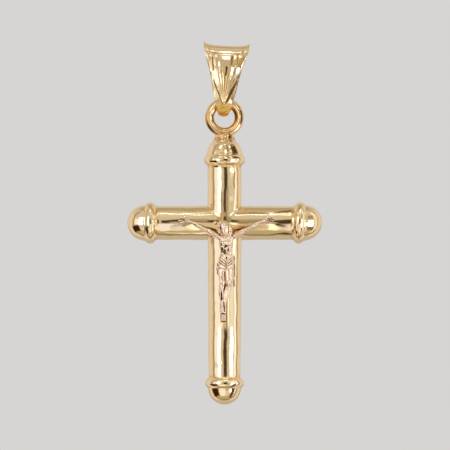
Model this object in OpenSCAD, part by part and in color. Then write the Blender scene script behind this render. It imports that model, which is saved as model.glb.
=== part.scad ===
// Crucifix pendant: a hollow cross of round tube with four ridged, domed caps and a
// soldered loop, a cast figure pegged to its front, and a folded, faceted bail.
// Lengths are in millimetres. The origin is the inside top of the bail, where a chain
// bears. The front faces -Y and +Z is up.

/* [Cross] */
// Outer diameter of the round tubes
tube_d = 3.6; // [3.4:0.1:4]
// Size of the upright's foot and of its cap as a share of the others
foot_share = 0.94; // [0.9:0.01:1]
// Wall of the tubes and of the caps
tube_wall = 0.3; // [0.2:0.05:0.5]
// Centre of the crossing to the crest of a side ridge
arm_reach = 7.95; // [7:0.05:10]
// Centre of the crossing to the crest of the top ridge
head_reach = 6.6; // [5.5:0.05:8]
// Centre of the crossing to the crest of the bottom ridge
foot_reach = 17; // [15:0.1:20]
// Radius of the solder fillets in the four inner corners
corner_r = 0.25; // [0.1:0.05:0.5]
// Diameter of the solder bead beside the head
bead_d = 0.44; // [0.3:0.02:0.6]

/* [End caps] */
// Diameter over the crest of a ridge
ridge_d = 4.45; // [4.3:0.05:4.8]
// Radius of the rounded crest
crest_r = 0.25; // [0.18:0.01:0.3]
// Radius of the hollow flank between the tube and the crest
root_r = 0.9; // [0.6:0.05:1.2]
// Radius of the hollow flank between the crest and the dome
flank_r = 0.36; // [0.3:0.02:0.42]
// Diameter of the dome
dome_d = 3.7; // [3.5:0.05:3.8]
// Crest of the ridge to the end of the dome
cap_len = 2.5; // [2.5:0.05:3]

/* [Loop] */
// Outer diameter of the loop
loop_d = 4.12; // [3.9:0.02:4.6]
// Diameter of the wire of the loop
loop_wire = 0.98; // [0.8:0.02:1.04]
// Width of the solder neck under the loop
neck_w = 2.2; // [1.8:0.1:2.4]
// Gap between the loop and the dome that the solder fills
neck_gap = 0.02; // [0.01:0.01:0.2]

/* [Bail] */
// Width of the bail over its two horns
bail_w = 5; // [4.4:0.1:6]
// Chain to the middle of the loop's wire
bail_drop = 5.7; // [5.2:0.05:7]
// Inside depth between the two leaves
bail_depth = 2.8; // [2.6:0.05:3.4]
// Thickness of the sheet
bail_wall = 0.35; // [0.3:0.01:0.45]
// Thickness of the two soldered tips under the loop
bail_tip = 0.75; // [0.6:0.05:0.8]
// Outward curl of the horns
bail_flare = 0.3; // [0.1:0.05:0.5]
// Depth of the cuts on the front leaf
cut_depth = 0.14; // [0.05:0.01:0.18]
// Gap between the inside of the loop and the tips that pass through it
seat_gap = 0.05; // [0.03:0.01:0.08]

/* [Figure] */
// Height of the figure from crown to toes
figure_h = 10.8; // [9:0.1:12]
// Span between the two palms
figure_span = 8.7; // [7.5:0.1:9.5]
// Depth of the casting in front of the tube
figure_t = 1; // [0.8:0.05:1.3]
// Gap between the casting and the tubes
figure_gap = 0.03; // [0.02:0.01:0.06]
// Diameter of the two pegs on the back of the casting
peg_d = 0.7; // [0.5:0.05:0.9]
// Gap around a peg in its hole
peg_gap = 0.03; // [0.02:0.01:0.06]
// Length of a peg inside the tube
peg_in = 0.6; // [0.5:0.05:0.9]

/* [Hidden] */
$fn = 64;

// Cross, worked out from the sizes above
tube_r = tube_d / 2;
bore_r = tube_r - tube_wall;
dome_r = dome_d / 2;
loop_r = (loop_d - loop_wire) / 2;
hole_r = loop_d / 2 - loop_wire;
loop_z = -bail_drop - loop_r;
cross_z = loop_z - loop_d / 2 - neck_gap - cap_len - head_reach;
crest_c = ridge_d / 2 - crest_r;
// How deep a flank presses into the crest, which makes them cross and not just touch
crest_lap = 0.002;
fuse = 0.2;

// Solder neck under the loop: how far it reaches into the dome as a share of its radius,
// and its section above that, with the radius as a share of neck_w and the height over
// the dome, past neck_gap, as a share of loop_wire
neck_sink = 0.35;
neck_spread = 0.64;
neck_table = [[0.5, 0], [0.44, 0.15], [0.24, 0.4], [0, 0.4]];

// Solder bead left of the head, as a share of the height of the figure
bead_x = -0.09;

// Fan of cuts on the bail: where it comes to a point, as a share of bail_drop, how fast it
// widens above that, and its least and greatest half width as shares of the leaf's
fan_drop = 1.055;
fan_slope = 0.46;
fan_min = 0.06;
fan_max = 0.93;

// Edges of the bail's sheet: their bevel, the share of a cut that reaches them, the flat
// inside between them, and how far the solder draws them in and down at the tips
edge_bevel = 0.1;
edge_cut = 0.4;
inner_flat = 0.6;
tip_taper = 0.3;
tip_sink = 0.25;

// Figure: its middle and the places of its pegs behind the chest and the hips, as shares
// of its height, how deep the pegs are rooted in it, the sides of its round forms and of
// the hollow of its back, and the rise of a closed end as a share of its half width
body_x = 0.014;
peg_table = [[0.014, -0.215], [0.008, -0.425]];
peg_root = 0.3;
figure_sides = 16;
limb_sides = 10;
back_sides = 96;
tip_rise = 0.3;

// Distance along the axis from the crest to the foot of a hollow flank of radius hollow
// that ends at radius r
function flank_foot(r, hollow) =
    sqrt(pow(hollow + crest_r - crest_lap, 2) - pow(r + hollow - crest_c, 2));

// Smooth curve through rows of a table, between rows i and i + 1
function row_at(rows, i, t) = let (
    a = rows[max(i - 1, 0)],
    b = rows[i],
    c = rows[i + 1],
    d = rows[min(i + 2, len(rows) - 1)]
) (2 * b + (c - a) * t + (2 * a - 5 * b + 4 * c - d) * t * t
   + (3 * b - a - 3 * c + d) * t * t * t) / 2;

// The same rows with steps - 1 further rows between each two
function smooth_rows(rows, steps) = concat(
    [for (i = [0 : len(rows) - 2], j = [0 : steps - 1]) row_at(rows, i, j / steps)],
    [rows[len(rows) - 1]]
);

function unit(v) = v / max(norm(v), 0.000001);

// Ridge and dome of a cap as a half section: x is the radius, y runs from the crest
// towards the end of the dome
module cap_section() {
    foot_in = flank_foot(tube_r, root_r);
    foot_out = flank_foot(dome_r, flank_r);
    in_c = [tube_r + root_r, -foot_in];
    out_c = [dome_r + flank_r, foot_out];
    mid = [crest_c, 0];
    in_t = mid + crest_r * unit(in_c - mid);
    out_t = mid + crest_r * unit(out_c - mid);
    difference() {
        polygon([[0, -foot_in], [tube_r, -foot_in], in_t, mid, out_t, [dome_r, foot_out],
                 [0, foot_out]]);
        translate(in_c)
            circle(r = root_r);
        translate(out_c)
            circle(r = flank_r);
    }
    translate(mid)
        circle(r = crest_r);
    intersection() {
        translate([0, cap_len - dome_r])
            circle(r = dome_r);
        square([dome_r, cap_len]);
    }
}

// Tube from the crossing to its cap, whose crest lies reach above the crossing, and the cap.
// share is the size of the end against the start
module limb(reach, share = 1) {
    cylinder(r1 = tube_r, r2 = tube_r * share, h = reach);
    translate([0, 0, reach])
        scale(share)
            rotate_extrude()
                cap_section();
}

// Hollow of a limb, rounded in its dome
module limb_bore(reach, share = 1) {
    inside = reach + share * (cap_len - dome_r);
    cylinder(r1 = bore_r, r2 = bore_r * share, h = inside);
    translate([0, 0, inside])
        sphere(r = share * min(bore_r, dome_r - tube_wall));
}

// Solder fillet between two tubes, one quarter of the crossing
module corner() {
    rotate([90, 0, 0])
        linear_extrude(height = 2 * corner_r, center = true)
            translate([tube_r - fuse, tube_r - fuse])
                difference() {
                    square(fuse + corner_r);
                    translate([fuse + corner_r, fuse + corner_r])
                        circle(r = corner_r);
                }
}

// Round wire loop and the solder that joins it to the top dome
module loop() {
    translate([0, 0, loop_z - cross_z])
        rotate([90, 0, 0])
            rotate_extrude()
                translate([loop_r, 0])
                    circle(d = loop_wire);
    translate([0, 0, head_reach + cap_len])
        rotate_extrude()
            polygon(concat(
                [[0, -neck_sink * dome_r], [neck_spread * neck_w, -neck_sink * dome_r]],
                [for (r = neck_table) [r[0] * neck_w, neck_gap + r[1] * loop_wire]]
            ));
}

module cross() {
    color("gold")
        translate([0, 0, cross_z])
            difference() {
                union() {
                    limb(head_reach);
                    mirror([0, 0, 1])
                        limb(foot_reach, foot_share);
                    rotate([0, 90, 0])
                        limb(arm_reach);
                    rotate([0, -90, 0])
                        limb(arm_reach);
                    for (turn = [0 : 90 : 270])
                        rotate([0, turn, 0])
                            corner();
                    loop();
                    translate([bead_x * figure_h, -tube_r, 0])
                        sphere(d = bead_d);
                }
                limb_bore(head_reach);
                mirror([0, 0, 1])
                    limb_bore(foot_reach, foot_share);
                rotate([0, 90, 0])
                    limb_bore(arm_reach);
                rotate([0, -90, 0])
                    limb_bore(arm_reach);
                pegs(peg_d / 2 + peg_gap, tube_r);
            }
}

// Stations of the bail down one leaf, from the middle of the fold to just above the wire.
// drop is a share of bail_drop, depth of half bail_depth, width of half bail_w, flare of
// bail_flare and cut of cut_depth
// [drop, depth, width, flare, cut]
leaf_table = [
    [0.000, 0.000, 1.000, 1.00, 0],
    [0.013, 0.340, 0.990, 0.95, 0],
    [0.062, 0.680, 0.960, 0.70, 0],
    [0.090, 0.780, 0.940, 0.60, 0],
    [0.108, 0.830, 0.930, 0.55, 1],
    [0.165, 0.930, 0.875, 0.35, 1],
    [0.230, 0.990, 0.810, 0.15, 1],
    [0.330, 1.000, 0.745, 0.05, 1],
    [0.440, 0.990, 0.675, 0.00, 1],
    [0.550, 0.965, 0.610, 0.00, 1],
    [0.660, 0.930, 0.565, 0.00, 1],
    [0.770, 0.890, 0.520, 0.00, 1],
    [0.870, 0.850, 0.470, 0.00, 0.9],
    [0.940, 0.820, 0.425, 0.00, 0.6]
];

// Stations of the tip, which turns under the wire of the loop. angle is measured at the
// wire from straight down, width is a share of the radius of the loop's hole, solder is 0
// where the sheet is plain and 1 at the soldered tips
// [angle, width, solder, cut]
tip_table = [
    [90, 0.890, 0.00, 0.3],
    [72, 0.840, 0.10, 0],
    [50, 0.745, 0.35, 0],
    [26, 0.670, 0.75, 0],
    [0, 0.620, 1.00, 0]
];

// Fan of cuts across the front leaf, from its middle to its edge.
// place is a share of the fan's half width and depth of the cut's depth
// [place, depth]
fan_table = [[0, 0.7], [0.14, 0.05], [0.31, 0.95], [0.48, 0], [0.64, 0.85], [0.82, 0.1], [1, 1]];

// Distance from the wire's middle at which a flat strip of this half width clears the
// inside of the loop
function seat_r(half) = loop_r - sqrt(pow(hole_r, 2) - pow(half, 2)) + seat_gap;

// Half width of the fan as a share of the width of the leaf at a depth below the chain
function fan_share(drop, half) =
    max(fan_min, min(fan_max, fan_slope * (fan_drop * bail_drop - drop) / half));

// Both tables in millimetres, run through smoothly
// [depth, height, half width, wall, flare, cut, drop]
leaf_rows = smooth_rows(concat(
    [for (r = leaf_table) [
        r[1] * bail_depth / 2,
        -r[0] * bail_drop,
        r[2] * bail_w / 2,
        bail_wall,
        r[3] * bail_flare,
        r[4] * cut_depth
    ]],
    [for (r = tip_table) let (half = r[1] * hole_r, rise = seat_r(half)) [
        rise * sin(r[0]),
        -bail_drop - rise * cos(r[0]),
        half,
        bail_wall + r[2] * (bail_tip - bail_wall),
        0,
        r[3] * cut_depth
    ]]
), 2);
leaf_last = len(leaf_rows) - 1;

// Point of the inside of a leaf at row i, mirrored past both ends of the rows
function leaf_at(i) =
    i < 0 ? [-leaf_rows[1][0], leaf_rows[1][1]]
    : i > leaf_last ? [-leaf_rows[leaf_last - 1][0], leaf_rows[leaf_last - 1][1]]
    : [leaf_rows[i][0], leaf_rows[i][1]];

// Point of the bail at row i: share runs across the leaf, raise out from its inside
function leaf_xyz(i, side, share, raise) = let (
    run = unit(leaf_at(i + 1) - leaf_at(i - 1)),
    lift = raise + leaf_rows[i][4] * pow(abs(share), 3)
) [
    share * leaf_rows[i][2],
    side * (leaf_at(i)[0] - run[1] * lift),
    leaf_at(i)[1] + run[0] * lift
];

// Closed section of the bail at row i: the outer face from edge to edge, then the inner.
// side is -1 on the front leaf, which is cut, and 1 on the plain back leaf
function bail_section(i, side) = let (
    row = leaf_rows[i],
    fan = fan_share(-row[1], row[2]),
    cut = side < 0 ? row[5] : 0,
    solder = (row[3] - bail_wall) / (bail_tip - bail_wall),
    rim = row[3] * (1 - tip_sink * solder) - edge_bevel - edge_cut * cut,
    half = concat(
        [for (f = fan_table) [f[0] * fan, row[3] - f[1] * cut]],
        [[1 - tip_taper * solder, rim], [1, 0], [inner_flat, 0]]
    ),
    last = len(half) - 1
) [
    for (k = [last : -1 : 1]) leaf_xyz(i, side, -half[k][0], half[k][1]),
    for (k = [0 : last]) leaf_xyz(i, side, half[k][0], half[k][1])
];

// Ring of sections joined into one closed strip
module bail() {
    sections = concat(
        [for (i = [0 : leaf_last]) bail_section(i, -1)],
        [for (i = [leaf_last - 1 : -1 : 1]) bail_section(i, 1)]
    );
    rows = len(sections);
    sides = len(sections[0]);
    color("goldenrod")
        polyhedron(
            points = [for (section = sections, p = section) p],
            faces = [
                for (i = [0 : rows - 1], k = [0 : sides - 1])
                    let (
                        j = (i + 1) % rows,
                        m = (k + 1) % sides,
                        a = i * sides + k,
                        b = i * sides + m,
                        c = j * sides + m,
                        d = j * sides + k
                    )
                    each [[a, b, c], [a, c, d]]
            ],
            convexity = 6
        );
}

// Pegs behind the chest and the hips, as round rods of radius r from the middle of the
// casting to the depth inside the tube
module pegs(r, inside) {
    for (place = peg_table)
        translate([place[0] * figure_h, -tube_r + inside, place[1] * figure_h])
            rotate([90, 0, 0])
                cylinder(r = r, h = inside + peg_root * figure_t, $fn = 32);
}

// Solid through rows of oval sections that stand square to the run of the rows, closed by
// a low cone at both ends. across is the size that x is a share of, and flip = -1 turns
// the limb to the other side
// [x, z, half width, depth of the middle, half depth]
module loft(rows, sides, across = figure_h, steps = 2, flip = 1) {
    fine = smooth_rows(rows, steps);
    last = len(fine) - 1;
    spot = [for (r = fine)
        [flip * r[0] * across, -tube_r - r[3] * figure_t, r[1] * figure_h]];
    run = [for (i = [0 : last]) unit(spot[min(i + 1, last)] - spot[max(i - 1, 0)])];
    rings = [
        for (i = [0 : last])
            let (side = unit(cross(run[i], [0, 1, 0])))
            for (k = [0 : sides - 1])
                spot[i] + side * fine[i][2] * figure_h * cos(360 * k / sides)
                    + [0, 1, 0] * fine[i][4] * figure_t * sin(360 * k / sides)
    ];
    tips = [
        spot[0] - run[0] * fine[0][2] * tip_rise * figure_h,
        spot[last] + run[last] * fine[last][2] * tip_rise * figure_h
    ];
    first = (last + 1) * sides;
    faces = [
        for (i = [0 : last - 1], k = [0 : sides - 1])
            let (
                a = i * sides + k,
                b = i * sides + (k + 1) % sides
            )
            each [[a, b, b + sides], [a, b + sides, a + sides]],
        for (k = [0 : sides - 1])
            let (m = (k + 1) % sides)
            each [[first, m, k], [first + 1, last * sides + k, last * sides + m]]
    ];
    polyhedron(points = concat(rings, tips), faces = faces, convexity = 4);
}

// Rounded bars between two balls, for fingers, feet and folds.
// Each end of a bar is [x, z, depth, radius], in shares of the height and the depth
module bars(table, across = figure_h, flip = 1) {
    for (ends = table)
        hull()
            for (end = ends)
                translate([flip * end[0] * across, -tube_r - end[2] * figure_t,
                           end[1] * figure_h])
                    sphere(r = end[3] * figure_h, $fn = limb_sides);
}

torso_rows = [
    [0.015, -0.132, 0.028, 0.34, 0.22],
    [0.013, -0.149, 0.067, 0.34, 0.30],
    [0.015, -0.180, 0.070, 0.36, 0.42],
    [0.015, -0.225, 0.067, 0.36, 0.42],
    [0.015, -0.281, 0.056, 0.28, 0.33],
    [0.015, -0.331, 0.058, 0.30, 0.36],
    [0.010, -0.391, 0.068, 0.32, 0.40],
    [0.006, -0.441, 0.065, 0.32, 0.36]
];
head_rows = [
    [-0.014, 0.020, 0.008, 0.48, 0.06],
    [-0.011, 0.008, 0.032, 0.50, 0.28],
    [-0.003, -0.023, 0.047, 0.54, 0.42],
    [0.003, -0.056, 0.051, 0.56, 0.46],
    [0.008, -0.088, 0.046, 0.56, 0.45],
    [0.014, -0.118, 0.034, 0.54, 0.38],
    [0.017, -0.141, 0.020, 0.50, 0.24],
    [0.020, -0.152, 0.009, 0.48, 0.08]
];
hair_rows = [
    [0.010, 0.017, 0.010, 0.40, 0.14],
    [0.040, -0.010, 0.026, 0.40, 0.30],
    [0.065, -0.050, 0.032, 0.40, 0.34],
    [0.077, -0.095, 0.028, 0.38, 0.32],
    [0.070, -0.137, 0.022, 0.38, 0.28],
    [0.061, -0.168, 0.010, 0.42, 0.16]
];
lock_rows = [
    [-0.023, 0.011, 0.010, 0.40, 0.14],
    [-0.044, -0.013, 0.021, 0.40, 0.26],
    [-0.049, -0.046, 0.020, 0.38, 0.26],
    [-0.044, -0.082, 0.012, 0.36, 0.20],
    [-0.037, -0.103, 0.007, 0.36, 0.10]
];
arm_rows = [
    [0.100, -0.150, 0.026, 0.32, 0.30],
    [0.179, -0.138, 0.027, 0.32, 0.28],
    [0.292, -0.115, 0.024, 0.28, 0.25],
    [0.408, -0.086, 0.023, 0.24, 0.23],
    [0.512, -0.068, 0.018, 0.20, 0.20],
    [0.599, -0.047, 0.018, 0.19, 0.19],
    [0.691, -0.025, 0.019, 0.19, 0.20],
    [0.790, -0.001, 0.015, 0.18, 0.17],
    [0.870, 0.015, 0.012, 0.18, 0.15],
    [0.930, 0.024, 0.015, 0.18, 0.15]
];
cloth_rows = [
    [0.016, -0.318, 0.057, 0.30, 0.36],
    [0.014, -0.333, 0.068, 0.32, 0.42],
    [0.012, -0.381, 0.076, 0.34, 0.48],
    [0.010, -0.430, 0.081, 0.36, 0.50],
    [0.010, -0.466, 0.077, 0.36, 0.44]
];
near_leg_rows = [
    [0.042, -0.419, 0.041, 0.34, 0.38],
    [0.042, -0.470, 0.041, 0.42, 0.38],
    [0.047, -0.523, 0.036, 0.50, 0.36],
    [0.047, -0.581, 0.033, 0.58, 0.36],
    [0.039, -0.622, 0.032, 0.50, 0.34],
    [0.029, -0.667, 0.032, 0.40, 0.32],
    [0.014, -0.723, 0.026, 0.36, 0.29],
    [0.000, -0.776, 0.020, 0.40, 0.25],
    [-0.004, -0.819, 0.018, 0.44, 0.22]
];
far_leg_rows = [
    [-0.023, -0.421, 0.041, 0.32, 0.36],
    [-0.030, -0.469, 0.038, 0.36, 0.35],
    [-0.028, -0.531, 0.034, 0.40, 0.33],
    [-0.022, -0.588, 0.031, 0.44, 0.31],
    [-0.029, -0.628, 0.029, 0.34, 0.29],
    [-0.030, -0.678, 0.029, 0.28, 0.28],
    [-0.026, -0.730, 0.024, 0.24, 0.25],
    [-0.016, -0.784, 0.020, 0.20, 0.21],
    [-0.011, -0.822, 0.019, 0.18, 0.18]
];

// Open hand with a palm, four fingers and a thumb, with x as a share of half the span
hand_bars = [
    [[0.93, 0.024, 0.20, 0.015], [0.985, 0.030, 0.22, 0.020]],
    [[1.01, 0.041, 0.24, 0.010], [1.13, 0.052, 0.17, 0.007]],
    [[1.01, 0.033, 0.24, 0.010], [1.155, 0.036, 0.17, 0.007]],
    [[1.01, 0.026, 0.24, 0.010], [1.15, 0.020, 0.17, 0.007]],
    [[1.01, 0.019, 0.24, 0.010], [1.12, 0.006, 0.17, 0.007]],
    [[0.97, 0.045, 0.24, 0.010], [1.03, 0.068, 0.20, 0.007]]
];

// Two crossed feet, the near one over the far one
feet_bars = [
    [[-0.004, -0.822, 0.42, 0.019], [-0.008, -0.900, 0.50, 0.023]],
    [[-0.008, -0.900, 0.50, 0.023], [-0.010, -0.955, 0.42, 0.020]],
    [[-0.012, -0.822, 0.16, 0.019], [-0.016, -0.900, 0.22, 0.024]],
    [[-0.016, -0.900, 0.22, 0.024], [-0.016, -0.950, 0.18, 0.021]]
];

// Folds of the loincloth, which fall from both hips and meet in front, then its knot and
// the end that hangs from it
fold_bars = [
    [[-0.044, -0.345, 0.52, 0.014], [0.018, -0.400, 0.74, 0.013]],
    [[-0.052, -0.372, 0.52, 0.014], [0.018, -0.428, 0.74, 0.013]],
    [[0.058, -0.352, 0.52, 0.014], [0.018, -0.405, 0.74, 0.013]],
    [[0.066, -0.380, 0.52, 0.014], [0.018, -0.434, 0.74, 0.013]],
    [[-0.052, -0.415, 0.50, 0.020], [-0.064, -0.433, 0.44, 0.018]],
    [[-0.062, -0.436, 0.42, 0.013], [-0.067, -0.505, 0.26, 0.010]]
];

// Whole figure before its back is fitted to the tubes
module figure() {
    loft(torso_rows, figure_sides);
    loft(head_rows, figure_sides);
    loft(hair_rows, limb_sides);
    loft(lock_rows, limb_sides);
    loft(cloth_rows, figure_sides);
    loft(near_leg_rows, limb_sides);
    loft(far_leg_rows, limb_sides);
    bars(feet_bars);
    bars(fold_bars);
    translate([body_x * figure_h, 0, 0])
        for (flip = [-1, 1]) {
            loft(arm_rows, limb_sides, figure_span / 2, 2, flip);
            bars(hand_bars, figure_span / 2, flip);
        }
}

module corpus() {
    color("rosybrown")
        translate([0, 0, cross_z]) {
            difference() {
                figure();
                for (turn = [-90, 0, 90])
                    rotate([0, turn, 0])
                        cylinder(r = tube_r + figure_gap, h = figure_h, $fn = back_sides);
                mirror([0, 0, 1])
                    cylinder(r1 = tube_r + figure_gap, r2 = tube_r * foot_share + figure_gap,
                             h = foot_reach, $fn = back_sides);
            }
            pegs(peg_d / 2, peg_in);
        }
}

cross();
bail();
corpus();
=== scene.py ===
"""Crucifix pendant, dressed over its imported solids.

A hollow cross of round tube with four ridged and domed caps and a soldered loop, a
rose gold figure pegged to its front, and a folded bail with cuts on its front leaf.
Shapes are worked out in millimetres and put into the meshes in metres. The origin is
the inside top of the bail, the front faces -Y and +Z is up.
"""

from __future__ import annotations

import logging
import math
from dataclasses import dataclass, field
from enum import Enum

import bmesh
import bpy
import numpy as np
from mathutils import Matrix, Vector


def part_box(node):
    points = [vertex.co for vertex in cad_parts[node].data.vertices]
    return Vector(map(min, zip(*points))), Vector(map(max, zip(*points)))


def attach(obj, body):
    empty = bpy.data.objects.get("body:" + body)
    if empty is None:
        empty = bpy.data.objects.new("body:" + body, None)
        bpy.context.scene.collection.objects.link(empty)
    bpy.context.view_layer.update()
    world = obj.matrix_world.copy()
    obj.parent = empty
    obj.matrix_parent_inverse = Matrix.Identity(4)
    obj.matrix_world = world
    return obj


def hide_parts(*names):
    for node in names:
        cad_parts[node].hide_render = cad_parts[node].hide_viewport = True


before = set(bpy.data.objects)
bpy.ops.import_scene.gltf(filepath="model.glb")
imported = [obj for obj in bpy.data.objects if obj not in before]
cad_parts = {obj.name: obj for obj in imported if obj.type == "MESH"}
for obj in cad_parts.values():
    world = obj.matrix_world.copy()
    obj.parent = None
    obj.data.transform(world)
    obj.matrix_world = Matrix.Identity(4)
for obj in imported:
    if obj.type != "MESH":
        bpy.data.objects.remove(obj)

log = logging.getLogger("pendant")

MM = 0.001
WELD = 2e-5
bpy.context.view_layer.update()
BACKGROUND = (0.680, 0.665, 0.651)
FLOOR_PAPER = (0.78, 0.76, 0.74)
PATCH_LENGTH, SMEAR_LENGTH, SCRATCH_LENGTH = 2.2, 0.9, 0.05

Colour = tuple[float, float, float]
Table = tuple[tuple[float, ...], ...]
Tree = bpy.types.NodeTree
Socket = bpy.types.NodeSocket


# --- Shared arithmetic ---------------------------------------------------------------


def ease(values: np.ndarray, low: float, high: float) -> np.ndarray:
    """Smooth step: 0 below low, 1 above high, and 3t^2 - 2t^3 between them.

    Args:
        values: Numbers to ease.
        low: Where the step starts.
        high: Where the step ends.

    Returns:
        The eased numbers, from 0 to 1.
    """
    t = np.clip((values - low) / (high - low), 0.0, 1.0)
    return t * t * (3.0 - 2.0 * t)


def bell(values: np.ndarray, width: float) -> np.ndarray:
    """Bell curve exp(-(v / width)^2), which is 1 at 0."""
    return np.exp(-((values / width) ** 2))


def through_rows(rows: np.ndarray, at: np.ndarray) -> np.ndarray:
    """Smooth curve through the rows of a table, a cubic through each four neighbours.

    Args:
        rows: Table, one row a station.
        at: Row numbers with fractions.

    Returns:
        One interpolated row for each number.
    """
    last = len(rows) - 1
    i = np.clip(np.floor(at).astype(int), 0, last - 1)
    t = (at - i)[:, None]
    a, b = rows[np.maximum(i - 1, 0)], rows[i]
    c, d = rows[i + 1], rows[np.minimum(i + 2, last)]
    bend = (2 * a - 5 * b + 4 * c - d) * t**2 + (3 * b - a - 3 * c + d) * t**3
    return (2 * b + (c - a) * t + bend) / 2


def ripple(points: np.ndarray, length: float, seed: int, waves: int = 14) -> np.ndarray:
    """Slow uneven swell: a sum of sine waves that run in random directions.

    Args:
        points: Places, with x, y and z last.
        length: Middle length of a wave.
        seed: Number that picks the directions.
        waves: How many waves are added.

    Returns:
        About -1.5 to 1.5 at each place.
    """
    rng = np.random.default_rng(seed)
    ways = rng.normal(size=(waves, 3))
    ways /= np.linalg.norm(ways, axis=1, keepdims=True)
    ways *= 2 * math.pi / (length * rng.uniform(0.7, 1.6, (waves, 1)))
    swell = np.sin(points @ ways.T + rng.uniform(0, 2 * math.pi, waves))
    return swell.sum(axis=-1) / math.sqrt(waves)


def arc(centre: tuple[float, float], radius: float, start: float, end: float,
        count: int) -> np.ndarray:
    """Points along a circle: centre + radius * (cos a, sin a), a from start to end."""
    a = np.linspace(start, end, count)
    return np.stack([centre[0] + radius * np.cos(a), centre[1] + radius * np.sin(a)], axis=1)


def round_turn(count: int) -> np.ndarray:
    """Angles once round a circle, the first of which isn't repeated at the end."""
    return np.linspace(0, 2 * math.pi, count, endpoint=False)


def placed(x: np.ndarray, y: np.ndarray, z: np.ndarray) -> np.ndarray:
    """Points on a grid, from coordinates that are spread over each other's shape."""
    return np.stack(np.broadcast_arrays(x, y, z), axis=-1)


def tinted(points: np.ndarray, tint: np.ndarray | float) -> np.ndarray:
    """Grid of points with their tint, held from 0 to 1, as a fourth number."""
    held = np.broadcast_to(np.clip(tint, 0, 1), points.shape[:2])
    return np.concatenate([points, held[..., None]], axis=-1)


# --- Finishes ------------------------------------------------------------------------


def empty_material(name: str) -> tuple[bpy.types.Material, Tree]:
    """Makes a material whose node tree is empty, and returns both."""
    made = bpy.data.materials.new(name)
    made.use_nodes = True
    made.node_tree.nodes.clear()
    return made, made.node_tree


def node(tree: Tree, kind: str, inputs: dict | None = None, **settings: str) -> bpy.types.Node:
    """Adds a shader node.

    Args:
        tree: The tree that it joins.
        kind: Blender's name of it, after ShaderNode.
        inputs: A value or an earlier node's socket for each input, by name or number.
        settings: Values of its properties, set before the inputs.

    Returns:
        The node.
    """
    made = tree.nodes.new("ShaderNode" + kind)
    for name, value in settings.items():
        setattr(made, name, value)
    for key, value in (inputs or {}).items():
        if isinstance(value, Socket):
            tree.links.new(value, made.inputs[key])
        else:
            made.inputs[key].default_value = value
    return made


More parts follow.
